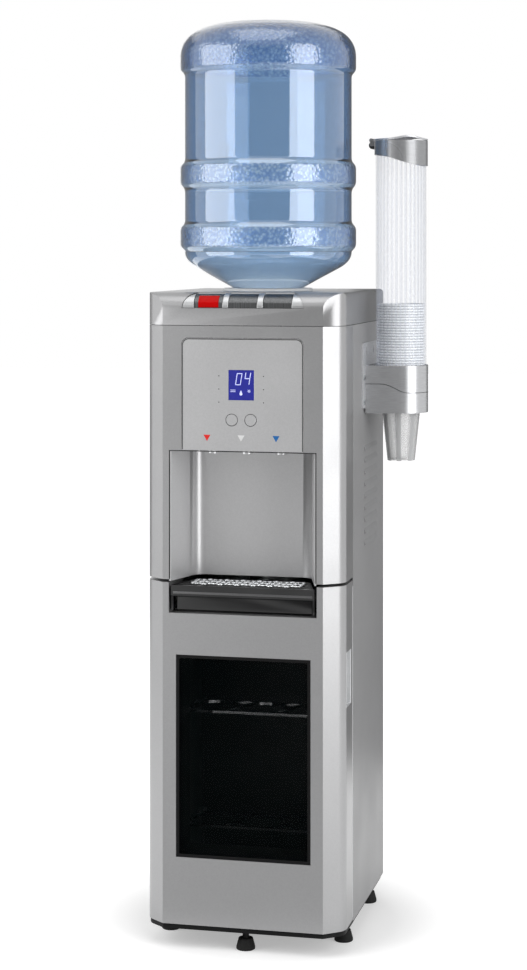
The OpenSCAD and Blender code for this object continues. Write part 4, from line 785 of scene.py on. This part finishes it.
@dataclass
class Studio:
    """White backdrop, pale floor, lights, cards and the camera at the photograph's place. Sizes in metres.

    Between the two distances of shadow_reach, the floor's own glow goes from the first to the second value of
    floor_glow: a painted shadow that darkens the floor near the object, on top of the shadow that the lamps
    cast.
    """

    camera_at: tuple[float, float, float] = (0.7804, -3.4019, 1.0701)
    camera_yaw: float = 13.043
    focal_px: float = 2188.07
    horizon_px: float = 237.3
    sensor_mm: float = 36.0
    floor_size: float = 30.0
    floor_color: str = "#dedede"
    shadow_reach: tuple[float, float] = (0.2, 0.4)
    floor_glow: tuple[float, float] = (0.38, 0.92)
    white: str = "#ffffff"
    fill: float = 0.3
    boxes: tuple[SoftBox, ...] = (
        SoftBox("left_box", -56, 1.6, 1.15, (1.4, 1.8), 20),
        SoftBox("right_box", 59, 2.0, 1.1, (1.25, 2.0), 28),
        SoftBox("top_box", 0, 0.6, 2.9, (1.6, 1.6), 12))
    cards: tuple[Card, ...] = (
        Card("front_card", 19, 4.0, 1.0, (5.3, 3.6), "#ececec"),
        Card("floor_card", -4, 1.6, 0.003, (1.0, 2.6), "#ececec", level=True),
        Card("side_card", 160, 1.1, 1.0, (1.0, 2.0), "#6a6a6a"),
        Card("rear_card", -128, 3.0, 1.2, (2.6, 3.2), "#c4c4c4"))

    def camera(self) -> None:
        """Places the level camera, shifted down to the photograph's framing."""
        data = bpy.data.cameras.new("camera")
        data.sensor_width = self.sensor_mm
        data.lens = self.focal_px / PHOTO_H * self.sensor_mm
        data.shift_y = -self.horizon_px / PHOTO_H
        made = bpy.data.objects.new("camera", data)
        made.location = self.camera_at
        made.rotation_euler = (math.radians(90), 0, math.radians(self.camera_yaw))
        bpy.context.scene.collection.objects.link(made)
        bpy.context.scene.camera = made

    def seen(self, tree: Tree) -> Socket:
        """Tells the rays that show a surface from those that only light other surfaces.

        Args:
            tree: the nodes of a material or the world.
        Returns:
            1 for rays from the eye, in mirrors and through glass, and 0 for the rest.
        """
        path = add_node(tree, "ShaderNodeLightPath").outputs
        inputs = {0: path["Is Camera Ray"], 1: path["Is Glossy Ray"]}
        eye = add_node(tree, "ShaderNodeMath", inputs, operation="MAXIMUM").outputs[0]
        inputs = {0: eye, 1: path["Is Transmission Ray"]}
        return add_node(tree, "ShaderNodeMath", inputs, operation="MAXIMUM").outputs[0]

    def floor(self) -> None:
        """Lays the floor: near white to the eye, with the object's shadow on it and painted shadow darkening it
        near the object.
        """
        made, bm = new_mesh("floor")
        bmesh.ops.create_grid(bm, x_segments=1, y_segments=1, size=self.floor_size / 2)
        close_mesh(made, bm)
        paint = bpy.data.materials.new("pale_floor_painted_shadow")
        paint.use_nodes = True
        tree = paint.node_tree
        tree.nodes.clear()
        place = add_node(tree, "ShaderNodeTexCoord").outputs["Object"]
        far = add_node(tree, "ShaderNodeVectorMath", {0: place}, operation="LENGTH").outputs["Value"]
        # The floor's glow is dimmer near the object, which paints a darker pool of shadow round its foot
        level = add_node(tree, "ShaderNodeMapRange", {
            "Value": far, "From Min": self.shadow_reach[0], "From Max": self.shadow_reach[1],
            "To Min": self.floor_glow[0], "To Max": self.floor_glow[1]}).outputs["Result"]
        inputs = {0: self.seen(tree), 1: level}
        glow = add_node(tree, "ShaderNodeMath", inputs, operation="MULTIPLY").outputs[0]
        matt = add_node(tree, "ShaderNodeBsdfDiffuse", {"Color": linear(self.floor_color)}).outputs[0]
        inputs = {"Color": linear(self.white), "Strength": glow}
        lift = add_node(tree, "ShaderNodeEmission", inputs).outputs[0]
        both = add_node(tree, "ShaderNodeAddShader", {0: matt, 1: lift}).outputs[0]
        add_node(tree, "ShaderNodeOutputMaterial", {"Surface": both})
        made.data.materials.append(paint)

    def world(self) -> None:
        """Sets a white backdrop for eye, gloss and glass, and a dimmer fill for the rest."""
        world = bpy.data.worlds.new("white_room")
        world.use_nodes = True
        tree = world.node_tree
        tree.nodes.clear()
        inputs = {"Value": self.seen(tree), "To Min": self.fill, "To Max": 1.0}
        level = add_node(tree, "ShaderNodeMapRange", inputs).outputs["Result"]
        inputs = {"Color": linear(self.white), "Strength": level}
        back = add_node(tree, "ShaderNodeBackground", inputs).outputs[0]
        add_node(tree, "ShaderNodeOutputWorld", {"Surface": back})
        bpy.context.scene.world = world

    def build(self) -> None:
        """Sets the stage."""
        bpy.context.scene.view_settings.view_transform = "Standard"
        self.camera()
        self.world()
        self.floor()
        for thing in (*self.boxes, *self.cards):
            thing.build()


@dataclass
class Carcass:
    """Sheet-metal cabinet, its feet, its bottle store and what works inside it."""

    rounding_mm: dict[str, float] = field(default_factory=lambda: {
        "base_plate": 0.4, "power_inlet": 0.5, "switch_housings": 0.5, "rocker_hot": 0.6, "rocker_cold": 0.6,
        "drain_cap": 0.5})
    angle: dict[str, float] = field(default_factory=lambda: {
        "side_panel_left": 8.0, "side_panel_right": 8.0, "back_panel": 15.0, "base_plate": 15.0})
    nodes: tuple[str, ...] = (
        "base_plate", "side_panel_left", "side_panel_right", "back_panel", "deck_plate", "cabinet_liner",
        "bottle_racks", "evaporator_plate", "cold_tank", "hot_tank", "water_pipes", "compressor", "condenser",
        "door_hinges", "foot_nuts", "switch_housings", "power_inlet", "screws", "rocker_hot", "rocker_cold",
        "drain_cap")
    feet: tuple[str, ...] = ("foot_front_left", "foot_front_right", "foot_rear_left", "foot_rear_right",
                             "foot_middle")

    def build(self) -> None:
        """Makes the cabinet's pieces."""
        for node in (*self.nodes, *self.feet):
            finish = TRIM if node == "base_plate" else finish_of(node)
            smooth_copy(node, finish, self.angle.get(node, SMOOTH_ANGLE), self.rounding_mm.get(node, 0.0))


@dataclass
class FrontMouldings:
    """Top cover, upper housing, niche and control panel, with the panel's printing and painted shadow lines.
    Sizes in millimetres.

    The display's figures and signs are placed from its lower left corner.
    """

    marker_w: float = 11.0
    marker_h: float = 9.5
    marker_up: float = 24.0
    marker_x: tuple[float, float, float] = (-55.0, -1.7, 52.7)
    dot_r: float = 0.9
    dot_out: float = 15.0
    dot_down: tuple[float, ...] = (9.0, 29.0, 49.0)
    ink_t: float = 0.12
    outline_in: float = 0.6
    outline_w: float = 1.5
    outline_r: float = 11.0
    outline_up: float = 1.0
    corner_steps: int = 6
    gap_w: float = 1.3
    gap_t: float = 0.3
    gap_back: float = 1.0
    gap_up: float = 3.0
    gap_down: float = 0.5
    ring_r: float = 8.9
    ring_w: float = 0.7
    ring_steps: int = 32
    figures: tuple[tuple[float, float, str], ...] = ((11.0, 23.5, "abcdef"), (24.5, 24.5, "bcfg"))
    figure_w: float = 7.5
    figure_h: float = 17.0
    stroke: float = 1.15
    stroke_end: float = 0.45
    lean: float = 0.16
    dash_x: tuple[float, float] = (3.0, 11.0)
    dash_up: tuple[float, ...] = (12.5, 15.0)
    dash_h: float = 0.8
    drop_at: tuple[float, float] = (19.5, 9.5)
    drop_r: float = 2.3
    drop_tip: float = 2.6
    drop_turn: tuple[float, float] = (150.0, 240.0)
    drop_steps: int = 10
    flake_at: tuple[float, float] = (32.0, 14.0)
    flake_r: float = 2.8
    flake_w: float = 0.6

    def build(self) -> None:
        """Makes the mouldings, the printing, the display and the painted shadow lines."""
        for node in ("top_cover", "upper_housing"):
            smooth_copy(node, SILVER, angle=28)
        smooth_copy("niche_liner", NICHE, angle=40)
        smooth_copy("control_panel", PANEL, round_mm=0.5)
        for node in ("button_left", "button_right"):
            smooth_copy(node, PANEL, round_mm=0.6)
        for node in ("bottle_receiver", "control_board", "tray_holder"):
            smooth_copy(node, finish_of(node))
        smooth_copy("taps", SATIN_CHROME_AND_PAINTED_HIGHLIGHT)
        smooth_copy("lcd_lens", DISPLAY, round_mm=0.4)
        self.markers()
        self.dots()
        self.display()
        self.outline()
        self.niche_gap()

    def face_y(self) -> float:
        """Gives the plane of the panel's face."""
        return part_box("control_panel")[0].y

    def print_on(self, bm: Mesh, outline: Outline, y: float) -> None:
        """Lays a patch of ink on an upright face at y, half of it sunk in."""
        plate(bm, outline, y - self.ink_t * MM / 2, self.ink_t * MM)

    def markers(self) -> None:
        """Prints the three arrows that show which tap is hot, plain and cold."""
        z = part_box("control_panel")[0].z + self.marker_up * MM
        half, tip = self.marker_w / 2 * MM, z - self.marker_h * MM
        inks = {"hot": INK_RED, "plain": INK_PALE, "cold": INK_BLUE}
        for right, (name, ink) in zip(self.marker_x, inks.items()):
            x = right * MM
            piece, bm = new_mesh("marker_" + name)
            self.print_on(bm, [(x - half, z), (x, tip), (x + half, z)], self.face_y())
            close_mesh(piece, bm)
            dress(piece, ink, "cabinet")

    def dots(self) -> None:
        """Prints the status dots at both sides of the display."""
        low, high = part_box("lcd_lens")
        ink = Vector((0, self.ink_t * MM, 0))
        piece, bm = new_mesh("status_dots")
        for x in (low.x - self.dot_out * MM, high.x + self.dot_out * MM):
            for down in self.dot_down:
                at = Vector((x, self.face_y(), high.z - down * MM))
                rod(bm, at - ink, at + ink, self.dot_r * MM)
        close_mesh(piece, bm)
        dress(piece, DARK_INK_AND_PAINTED_SHADE, "cabinet")

    def on_display(self, right: float, up: float) -> Vector:
        """Gives a place on the display's face, in metres."""
        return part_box("lcd_lens")[0] + Vector((right, 0, up)) * MM

    def display(self) -> None:
        """Draws the two slanted seven-segment figures and the small signs of the display."""
        piece, bm = new_mesh("display_figures")
        for right, up, on in self.figures:
            self.figure(bm, self.on_display(right, up), on)
        ink = Vector((0, self.ink_t * MM / 2, 0))
        left, right = self.dash_x
        for up in self.dash_up:
            bar(bm, self.on_display(left, up) - ink, self.on_display(right, up + self.dash_h) + ink)
        self.drop(bm, self.on_display(*self.drop_at))
        self.flake(bm, self.on_display(*self.flake_at))
        close_mesh(piece, bm)
        dress(piece, LIT, "cabinet")

    def figure(self, bm: Mesh, at: Vector, on: str) -> None:
        """Draws one seven-segment figure.

        Args:
            bm: the mesh.
            at: the left end of its foot.
            on: letters of the lit segments.
        """
        w, h = self.figure_w * MM, self.figure_h * MM
        ends = {"a": ((0, h), (w, h)), "b": ((w, h), (w, h / 2)), "c": ((w, h / 2), (w, 0)),
                "d": ((0, 0), (w, 0)), "e": ((0, 0), (0, h / 2)), "f": ((0, h / 2), (0, h)),
                "g": ((0, h / 2), (w, h / 2))}
        for letter in on:
            start, end = (at + Vector((x + self.lean * z, 0, z)) for x, z in ends[letter])
            run = (end - start).normalized() * self.stroke * self.stroke_end * MM
            side = Vector((run.z, 0, -run.x)).normalized() * self.stroke / 2 * MM
            corners = [start - run + side, end + run + side, end + run - side, start - run - side]
            self.print_on(bm, [(c.x, c.z) for c in corners], at.y)

    def drop(self, bm: Mesh, at: Vector) -> None:
        """Draws a small water drop.

        Args:
            bm: the mesh.
            at: the middle of its round part.
        """
        r = self.drop_r * MM
        start, sweep = self.drop_turn
        turns = [math.radians(start + sweep * i / self.drop_steps) for i in range(self.drop_steps + 1)]
        arc = [(at.x + r * math.cos(a), at.z + r * math.sin(a)) for a in turns]
        self.print_on(bm, [*arc, (at.x, at.z + self.drop_tip * r)], at.y)

    def flake(self, bm: Mesh, at: Vector) -> None:
        """Draws a small six-armed sign of cold.

        Args:
            bm: the mesh.
            at: its middle.
        """
        arm = Vector((self.flake_r, self.ink_t / 2, self.flake_w / 2)) * MM
        for turn in range(3):
            bar(bm, at - arm, at + arm, turn=Matrix.Rotation(math.radians(60 * turn), 4, "Y"))

    def rim(self, inset: float) -> Outline:
        """Gives a line up, over and down the panel's face.

        Args:
            inset: how far it lies inside the panel's edge.
        Returns:
            Its points, x and z in metres.
        """
        low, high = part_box("control_panel")
        corner, inside, foot = self.outline_r * MM, inset * MM, low.z + self.outline_up * MM
        r = corner - inside
        path = [(high.x - inside, foot)]
        for turn, x in enumerate((high.x - corner, low.x + corner)):
            for i in range(self.corner_steps + 1):
                a = math.radians(90 * (turn + i / self.corner_steps))
                path.append((x + r * math.cos(a), high.z - corner + r * math.sin(a)))
        return path + [(low.x + inside, foot)]

    def outline(self) -> None:
        """Paints the shadow in the gap that rims the panel's face as a dark line, and draws the dark rings
        round the buttons.
        """
        piece, bm = new_mesh("panel_outline")
        outer, inner = self.rim(self.outline_in), self.rim(self.outline_in + self.outline_w)
        self.print_on(bm, outer + inner[::-1], self.face_y())
        for node in ("button_left", "button_right"):
            self.ring(bm, node)
        close_mesh(piece, bm)
        dress(piece, DARK_INK_AND_PAINTED_SHADE, "cabinet")

    def ring(self, bm: Mesh, node: str) -> None:
        """Draws the dark ring round a button.

        Args:
            bm: the mesh.
            node: the button.
        """
        low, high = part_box(node)
        x, z = (low.x + high.x) / 2, (low.z + high.z) / 2
        near, far = self.ring_r * MM, (self.ring_r + self.ring_w) * MM
        front, back = (self.face_y() + side * self.ink_t * MM / 2 for side in (-1, 1))
        section = ((near, front), (far, front), (far, back), (near, back))
        verts = [bm.verts.new((x + r, y, z)) for r, y in section]
        edges = [bm.edges.new(pair) for pair in zip(verts, verts[1:] + verts[:1])]
        bmesh.ops.spin(bm, geom=verts + edges, cent=(x, front, z), axis=(0, 1, 0), angle=math.tau,
                       steps=self.ring_steps, use_merge=True, use_duplicate=False)

    def niche_gap(self) -> None:
        """Lays a dark rubber strip in the gap round the niche's opening as painted shadow of the gap."""
        low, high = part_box("niche_liner")
        foot, top = low.z + self.gap_up * MM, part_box("control_panel")[0].z - self.gap_down * MM
        front, back = low.y - self.gap_t * MM, low.y + self.gap_back * MM
        w = self.gap_w * MM
        piece, bm = new_mesh("niche_painted_shadow_line")
        for x in (low.x, high.x - w):
            bar(bm, (x, front, foot), (x + w, back, top))
        bar(bm, (low.x, front, top - w), (high.x, back, top))
        close_mesh(piece, bm, merge=False)
        dress(piece, RUBBER_AND_PAINTED_SHADE, "cabinet")


@dataclass
class TapKeys:
    """The three keys on the brow of the top cover, their frame and the red lock."""

    edge_mm: float = 0.8

    def build(self) -> None:
        """Makes the keys and their frame."""
        smooth_copy("key_bezel", BEZEL, angle=30, round_mm=self.edge_mm)
        for node in ("key_hot", "key_room", "key_cold"):
            smooth_copy(node, KEY_STEEL, angle=30, round_mm=self.edge_mm)
        smooth_copy("hot_lock", RED, angle=30, round_mm=self.edge_mm)


@dataclass
class DripTray:
    """Black drip tray that slides out, with its plated scroll-work grate. Sizes in millimetres.

    rows_back is the y halfway between the two rows of rosettes.
    """

    pitch: float = 26.0
    row_pitch: float = 21.0
    half_columns: int = 3
    leaf_in: float = 5.2
    leaf_r: float = 4.8
    leaf_start: float = -80.0
    leaf_sweep: float = 250.0
    ring_r: float = 3.8
    wire: float = 1.3
    rows_back: float = -136.75
    bead_out: float = 0.4
    bead_back: float = 1.0
    bead_in: float = 3.0
    bead_down: tuple[float, float] = (9.5, 13.0)
    bead_edge: float = 0.3

    def build(self) -> None:
        """Makes the tray, its grate and what is on them."""
        smooth_copy("drip_tray", GLOSS, round_mm=0.8)
        smooth_copy("drip_grate", GRATE, round_mm=0.35)
        self.scrolls()
        self.bead()

    def scrolls(self) -> None:
        """Lays the scroll-work: rosettes of four leaves in two rows, and rings between them."""
        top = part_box("drip_grate")[1].z
        wire = self.wire * MM
        columns = range(-self.half_columns, self.half_columns + 1)
        piece, bm = new_mesh("grate_scrolls")
        for i in columns:
            for j in (-0.5, 0.5):
                for turn in range(4):
                    a = math.radians(90 * turn + 45)
                    x = i * self.pitch + self.leaf_in * math.cos(a)
                    y = self.rows_back + j * self.row_pitch + self.leaf_in * math.sin(a)
                    curl(bm, (x * MM, y * MM, top), self.leaf_r * MM, wire, 90 * turn + self.leaf_start,
                         self.leaf_sweep)
        for i in columns[:-1]:
            for j in (-1, 0, 1):
                x, y = (i + 0.5) * self.pitch, self.rows_back + j * self.row_pitch
                curl(bm, (x * MM, y * MM, top), self.ring_r * MM, wire, 0, 360)
        close_mesh(piece, bm, angle=60)
        dress(piece, CHROME, BODY_OF["drip_grate"])

    def bead(self) -> None:
        """Lays the bead along the tray's lip, in a grey that is painted highlight where the ledge catches the
        light.
        """
        low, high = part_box("drip_tray")
        piece, bm = new_mesh("tray_lip_bead")
        bar(bm, (low.x + self.bead_in * MM, low.y - self.bead_out * MM, high.z - self.bead_down[1] * MM),
            (high.x - self.bead_in * MM, low.y + self.bead_back * MM, high.z - self.bead_down[0] * MM),
            self.bead_edge)
        close_mesh(piece, bm)
        dress(piece, LIP_BEAD_PAINTED_HIGHLIGHT, BODY_OF["drip_tray"])


@dataclass
class Door:
    """Lower front door with its window. Sizes in millimetres."""

    bead_w: float = 2.2
    bead_out: float = 0.4
    bead_in: float = 1.0
    bead_back: float = 0.2
    bead_ends: tuple[float, float] = (4.0, 9.0)
    bead_edge: float = 0.3

    def build(self) -> None:
        """Makes the door's pieces."""
        smooth_copy("door_shell", SILVER, angle=28)
        for node in ("door_liner", "door_gasket"):
            smooth_copy(node, finish_of(node))
        smooth_copy("door_glass", SMOKED)
        smooth_copy("window_trim", TRIM, round_mm=0.5)
        smooth_copy("door_handle", SATIN_CHROME_AND_PAINTED_HIGHLIGHT, round_mm=0.6)
        self.bead()

    def bead(self) -> None:
        """Lays a pale strip on the door's right edge as painted highlight: the bright line where the edge
        catches the light.
        """
        low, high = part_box("door_shell")
        piece, bm = new_mesh("door_edge_painted_highlight")
        bar(bm, (high.x - self.bead_in * MM, high.y - self.bead_w * MM, low.z + self.bead_ends[0] * MM),
            (high.x + self.bead_out * MM, high.y - self.bead_back * MM, high.z - self.bead_ends[1] * MM),
            self.bead_edge)
        close_mesh(piece, bm)
        dress(piece, SATIN_CHROME_AND_PAINTED_HIGHLIGHT, BODY_OF["door_shell"])


@dataclass
class WaterBottle:
    """Blow-moulded bottle, upside down in its seat. Millimetres; heights run down from the crown.

    cone_wall, band_wall and crown_wall are shares of wall. A band holds the heights of its steps, out from the
    waist and in again, and the top one runs on into the crown.
    """

    wall: float = 2.5
    cone_wall: float = 0.2
    band_wall: float = 0.55
    crown_wall: float = 0.8
    waist_in: float = 7.0
    neck_r: float = 27.5
    neck_len: float = 56.0
    cone_foot: float = 439.0
    cone_slope: float = 0.544
    shoulder_r: float = 20.0
    shoulder_gap: float = 1.0
    shoulder_steps: int = 8
    low_band: tuple[float, ...] = (366.0, 358.0, 328.0, 320.0)
    mid_band: tuple[float, ...] = (268.0, 259.0, 230.0, 222.0)
    top_band: tuple[float, ...] = (85.0, 78.0, 55.0)
    crown_r: float = 46.0
    crown_h: float = 44.0
    crown_turn: float = 60.0
    crown_steps: int = 10
    dome: tuple[tuple[float, float], ...] = ((107.0, 11.7), (84.0, 4.8), (54.0, 1.5), (30.0, 0.0), (0.0, 0.0))
    corner: float = 5.0
    steps: int = 128

    def outline(self) -> Outline:
        """Draws the outside of the bottle.

        Returns:
            Radius and height of each point from the neck to the crown, in metres.
        """
        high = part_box("bottle")[1]
        r = high.x / MM
        w = r - self.waist_in
        bands = [(x, d) for band in (self.low_band, self.mid_band) for x, d in zip((w, r, r, w), band)]
        corner = Vector((w, self.cone_foot - (w - self.neck_r) * self.cone_slope))
        start = corner + Vector((-self.shoulder_r, self.shoulder_r * self.cone_slope))
        end = Vector((w, self.low_band[0] + self.shoulder_gap))
        turns = [math.radians(self.crown_turn * i / self.crown_steps) for i in range(self.crown_steps + 1)]
        crown = [(r - self.crown_r * (1 - math.cos(a)), self.top_band[2] - self.crown_h * math.sin(a))
                 for a in turns]
        points = [(self.neck_r, self.cone_foot + self.neck_len), (self.neck_r, self.cone_foot),
                  *bend(start, corner, end, self.shoulder_steps), *bands,
                  (w, self.top_band[0]), (r, self.top_band[1]), *crown, *self.dome]
        return [(x * MM, high.z - d * MM) for x, d in rounded(points, self.corner)]

    def wall_share(self, drop: float) -> float:
        """Gives the share of its full thickness that the wall keeps.

        Args:
            drop: height below the crown, in millimetres.
        Returns:
            Less than 1 where the wall is blown thin: in the crown, in the bands and towards the neck.
        """
        if drop > self.low_band[0]:
            share = (self.cone_foot - drop) / (self.cone_foot - self.low_band[0])
            return self.cone_wall + (1 - self.cone_wall) * max(share, 0.0) ** 2
        if drop < self.top_band[0]:
            return self.crown_wall
        bands = (self.low_band, self.mid_band)
        return self.band_wall if any(band[0] >= drop >= band[3] for band in bands) else 1.0

    def build(self) -> None:
        """Turns the bottle and makes its cap."""
        low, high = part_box("bottle")
        piece, bm = new_mesh("water_bottle_shell")
        spin_profile(bm, self.outline(), ((low.x + high.x) / 2, (low.y + high.y) / 2), self.steps)
        close_mesh(piece, bm, angle=50)
        wall = piece.modifiers.new("wall", "SOLIDIFY")
        wall.thickness = self.wall * MM
        wall.offset = -1.0
        group = piece.vertex_groups.new(name="wall")
        for vert in piece.data.vertices:
            group.add([vert.index], self.wall_share((high.z - vert.co.z) / MM), "REPLACE")
        wall.vertex_group = "wall"
        # The pebbles of the top band go on over the crown
        spans = (self.low_band[1:3], self.mid_band[1:3], (self.top_band[1], -1.0))
        bands = tuple((high.z - a * MM, high.z - b * MM) for a, b in spans)
        # Blue polycarbonate: its thickness takes up the red, so edges and band steps go deeper
        # The real pebbles are finer and are drawn at 5 mm, so that the render shows them
        finish = PebbledBottle("tinted_polycarbonate", "#ffffff", 0.02, ior=1.585, coat=1.0, grain_mm=5.0,
                               relief_mm=0.35, wear=0.2, bands=bands, absorb=("#66aad0", 450.0),
                               extra=(("Transmission Weight", 1.0), ("Coat IOR", 1.6)))
        dress(piece, finish, BODY_OF["bottle"], "bottle")
        smooth_copy("bottle_cap", CAP_BLUE)


@dataclass
class CupDispenser:
    """Cup dispenser on the right side: steel holder and cap, clear tube and nested cups. Millimetres.

    nest_lip holds the heights at which a lip stands out and draws in, and feet_outer and feet_inner the radii
    of the feet at their floor and at their top.
    """

    stripe_count: int = 34
    wall: float = 1.5
    cup_wall: float = 0.9
    cup_lip: float = 2.4
    cup_rim_in: float = 2.0
    cup_foot_share: float = 0.62
    cup_foot_in: tuple[float, float] = (2.5, 2.0)
    cup_foot_up: float = 1.5
    cup_floor_up: float = 3.0
    cup_painted_highlights: int = 7
    ridges: int = 30
    ridge: float = 0.25
    nest_step: float = 4.3
    nest_in: float = 2.3
    nest_wall: float = 1.2
    nest_up: float = 1.0
    nest_lip: tuple[float, ...] = (0.8, 1.8, 3.4, 3.8)
    nest_top_in: float = 0.6
    feet_outer: tuple[float, float] = (20.5, 33.8)
    feet_inner: tuple[float, float] = (19.0, 32.5)
    feet_t: float = 1.5
    seam_up: float = 39.2
    seam_rise: float = 7.0
    seam_in: float = -24.0
    seam_run: float = 44.0
    seam_r: float = 0.45
    seam_steps: int = 8
    seam_arc_steps: int = 36
    knob_r: float = 6.0
    knob_half: float = 7.0
    knob_down: float = 11.0
    knob_out: float = 2.5

    def build(self) -> None:
        """Makes the dispenser's pieces."""
        smooth_copy("cup_holder", STEEL, angle=30, round_mm=0.4)
        smooth_copy("dispenser_bracket", DULL_STEEL, angle=30, round_mm=0.4)
        # The cap, its lid and its stop stay out of mirrors, or they show as a dark patch in the bottle's side
        for node, finish in (("tube_cap", CAP_STEEL), ("cap_lid", DULL_STEEL)):
            smooth_copy(node, finish, angle=30, round_mm=0.4).visible_glossy = False
        self.seam()
        self.knob().visible_glossy = False
        # The clear pieces cast no shadow, because the real ones cast hardly any
        for piece in (self.tube(), self.cup(), self.stack(), self.feet()):
            piece.visible_shadow = False

    def axis(self, node: str) -> tuple[float, float]:
        """Gives the x and y of a round node's axis."""
        low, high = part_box(node)
        return (low.x + high.x) / 2, (low.y + high.y) / 2

    def seam(self) -> None:
        """Paints the shadow in the joint that swings round the holder, where its two shells meet, as a dark
        wire.
        """
        low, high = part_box("cup_holder")
        r = (high.y - low.y) / 2
        x0, y0 = high.x - r, (low.y + high.y) / 2
        sides = [low.x + (x0 - low.x) * i / self.seam_steps for i in range(self.seam_steps)]
        turns = [math.pi * i / self.seam_arc_steps for i in range(self.seam_arc_steps + 1)]
        path = [(x, y0 - r) for x in sides]
        path += [(x0 + r * math.sin(a), y0 - r * math.cos(a)) for a in turns]
        path += [(x, y0 + r) for x in reversed(sides)]
        points = []
        for x, y in path:
            u = min(max((x - x0 - self.seam_in * MM) / (self.seam_run * MM), 0.0), 1.0)
            up = self.seam_up + self.seam_rise * math.cos(math.pi * u)
            points.append(Vector((x, y, low.z + up * MM)))
        piece, bm = new_mesh("holder_joint_painted_shadow")
        for start, end in zip(points, points[1:]):
            rod(bm, start, end, self.seam_r * MM, sides=8)
        close_mesh(piece, bm, merge=False)
        dress(piece, DARK_INK_AND_PAINTED_SHADE, BODY_OF["cup_holder"])

    def knob(self) -> Piece:
        """Makes the black stop beside the cap's hinge.

        Returns:
            The piece.
        """
        x, y = self.axis("cup_tube")
        low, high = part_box("tube_cap")
        at = Vector((x - (high.y - low.y) / 2 - self.knob_out * MM, y, high.z - self.knob_down * MM))
        half = Vector((0, self.knob_half * MM, 0))
        piece, bm = new_mesh("hinge_stop")
        rod(bm, at - half, at + half, self.knob_r * MM, sides=24)
        close_mesh(piece, bm)
        dress(piece, BLACK, BODY_OF["tube_cap"])
        return piece

    def tube(self) -> Piece:
        """Turns the clear tube.

        Returns:
            The piece.
        """
        low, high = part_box("cup_tube")
        r = (high.x - low.x) / 2
        inner = r - self.wall * MM
        section = [(inner, low.z), (r, low.z), (r, high.z), (inner, high.z), (inner, low.z)]
        piece, bm = new_mesh("clear_tube")
        spin_profile(bm, section, self.axis("cup_tube"))
        close_mesh(piece, bm)
        # Clear polystyrene whose thicker draw lines show as pale stripes
        finish = StripedClearWall("ribbed_clear_polystyrene", "#d4dae8", 0.08, relief_mm=0.02, tone=0.02,
                            clear=(0.03, 0.14), veil=0.16, axis=self.axis("cup_tube"), stripe_count=self.stripe_count)
        dress(piece, finish, BODY_OF["cup_tube"], "cup_tube")
        return piece

    def cup(self) -> Piece:
        """Turns the lowest cup, with fine level ridges and a rolled lip.

        Returns:
            The piece.
        """
        low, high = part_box("pull_cup")
        lip = (high.x - low.x) / 2
        rim = lip - self.cup_rim_in * MM
        foot = rim * self.cup_foot_share
        rise = high.z - low.z - self.cup_lip * MM
        side = []
        for i in range(2 * self.ridges + 1):
            u = i / (2 * self.ridges)
            side.append((foot + (rim - foot) * u - (i % 2) * self.ridge * MM, low.z + rise * u))
        under, floor = low.z + self.cup_foot_up * MM, low.z + self.cup_floor_up * MM
        hollow, ring = (foot - inset * MM for inset in self.cup_foot_in)
        t = self.cup_wall * MM
        section = [(0, under), (hollow, under), (ring, low.z), *side, (lip, low.z + rise), (lip, high.z),
                   (rim - t, high.z), (foot - t, floor), (0, floor)]
        piece, bm = new_mesh("ridged_cup")
        spin_profile(bm, section, self.axis("pull_cup"))
        close_mesh(piece, bm, angle=60)
        # Thin drawn polypropylene: half see-through, with upright bright streaks that are painted highlights
        finish = StripedClearWall("polypropylene_painted_highlights", "#a9aaab", 0.16, relief_mm=0.03, tone=0.06,
                            clear=(0.12, 0.6), veil=0.4, axis=self.axis("pull_cup"), stripe_count=self.cup_painted_highlights)
        dress(piece, finish, BODY_OF["pull_cup"], "pull_cup")
        return piece

    def stack(self) -> Piece:
        """Turns the nested cups, lip upon lip.

        Returns:
            The piece.
        """
        low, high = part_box("cup_stack")
        lip = (high.x - low.x) / 2
        body = lip - self.nest_in * MM
        hollow = body - self.nest_wall * MM
        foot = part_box("pull_cup")[1].z
        start = foot + self.nest_up * MM
        count = int((high.z - foot) / (self.nest_step * MM))
        section = [(hollow, start), (body, start)]
        for k in range(count):
            z = high.z - (count - k) * self.nest_step * MM
            section += [(x, z + up * MM) for x, up in zip((body, lip, lip, body), self.nest_lip)]
        section += [(lip - self.nest_top_in * MM, high.z), (hollow, high.z), (hollow, start)]
        piece, bm = new_mesh("nested_cups")
        spin_profile(bm, section, self.axis("cup_stack"))
        close_mesh(piece, bm)
        # Nested polypropylene cups, whose walls add up to a pale solid grey, with painted shade under each lip
        middle = sum(self.nest_lip[1:3]) / 2
        finish = NestedLips("nested_polypropylene", "#dfe1e5", 0.3, relief_mm=0.02, tone=0.3,
                            step_mm=self.nest_step, lip_z=high.z - (self.nest_step - middle) * MM)
        dress(piece, finish, BODY_OF["cup_stack"], "cup_stack")
        return piece

    def feet(self) -> Piece:
        """Turns the feet of the nested cups, which stand in the lowest one.

        Returns:
            The piece.
        """
        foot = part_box("cup_stack")[0].z
        floor, top = foot + self.feet_t * MM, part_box("pull_cup")[1].z + self.nest_up * MM
        outer, inner = ([x * MM for x in radii] for radii in (self.feet_outer, self.feet_inner))
        section = [(0, foot), (outer[0], foot), (outer[1], top),
                   (inner[1], top), (inner[0], floor), (0, floor)]
        piece, bm = new_mesh("nested_feet")
        spin_profile(bm, section, self.axis("cup_stack"))
        close_mesh(piece, bm)
        dress(piece, CUP, BODY_OF["cup_stack"])
        return piece


def main() -> None:
    """Dresses the cooler, piece by piece."""
    logging.basicConfig(level=logging.INFO, format="%(name)s: %(message)s")
    Studio().build()
    for part in (Carcass(), FrontMouldings(), TapKeys(), DripTray(), Door(), WaterBottle(), CupDispenser()):
        part.build()


if __name__ == "__main__":
    main()
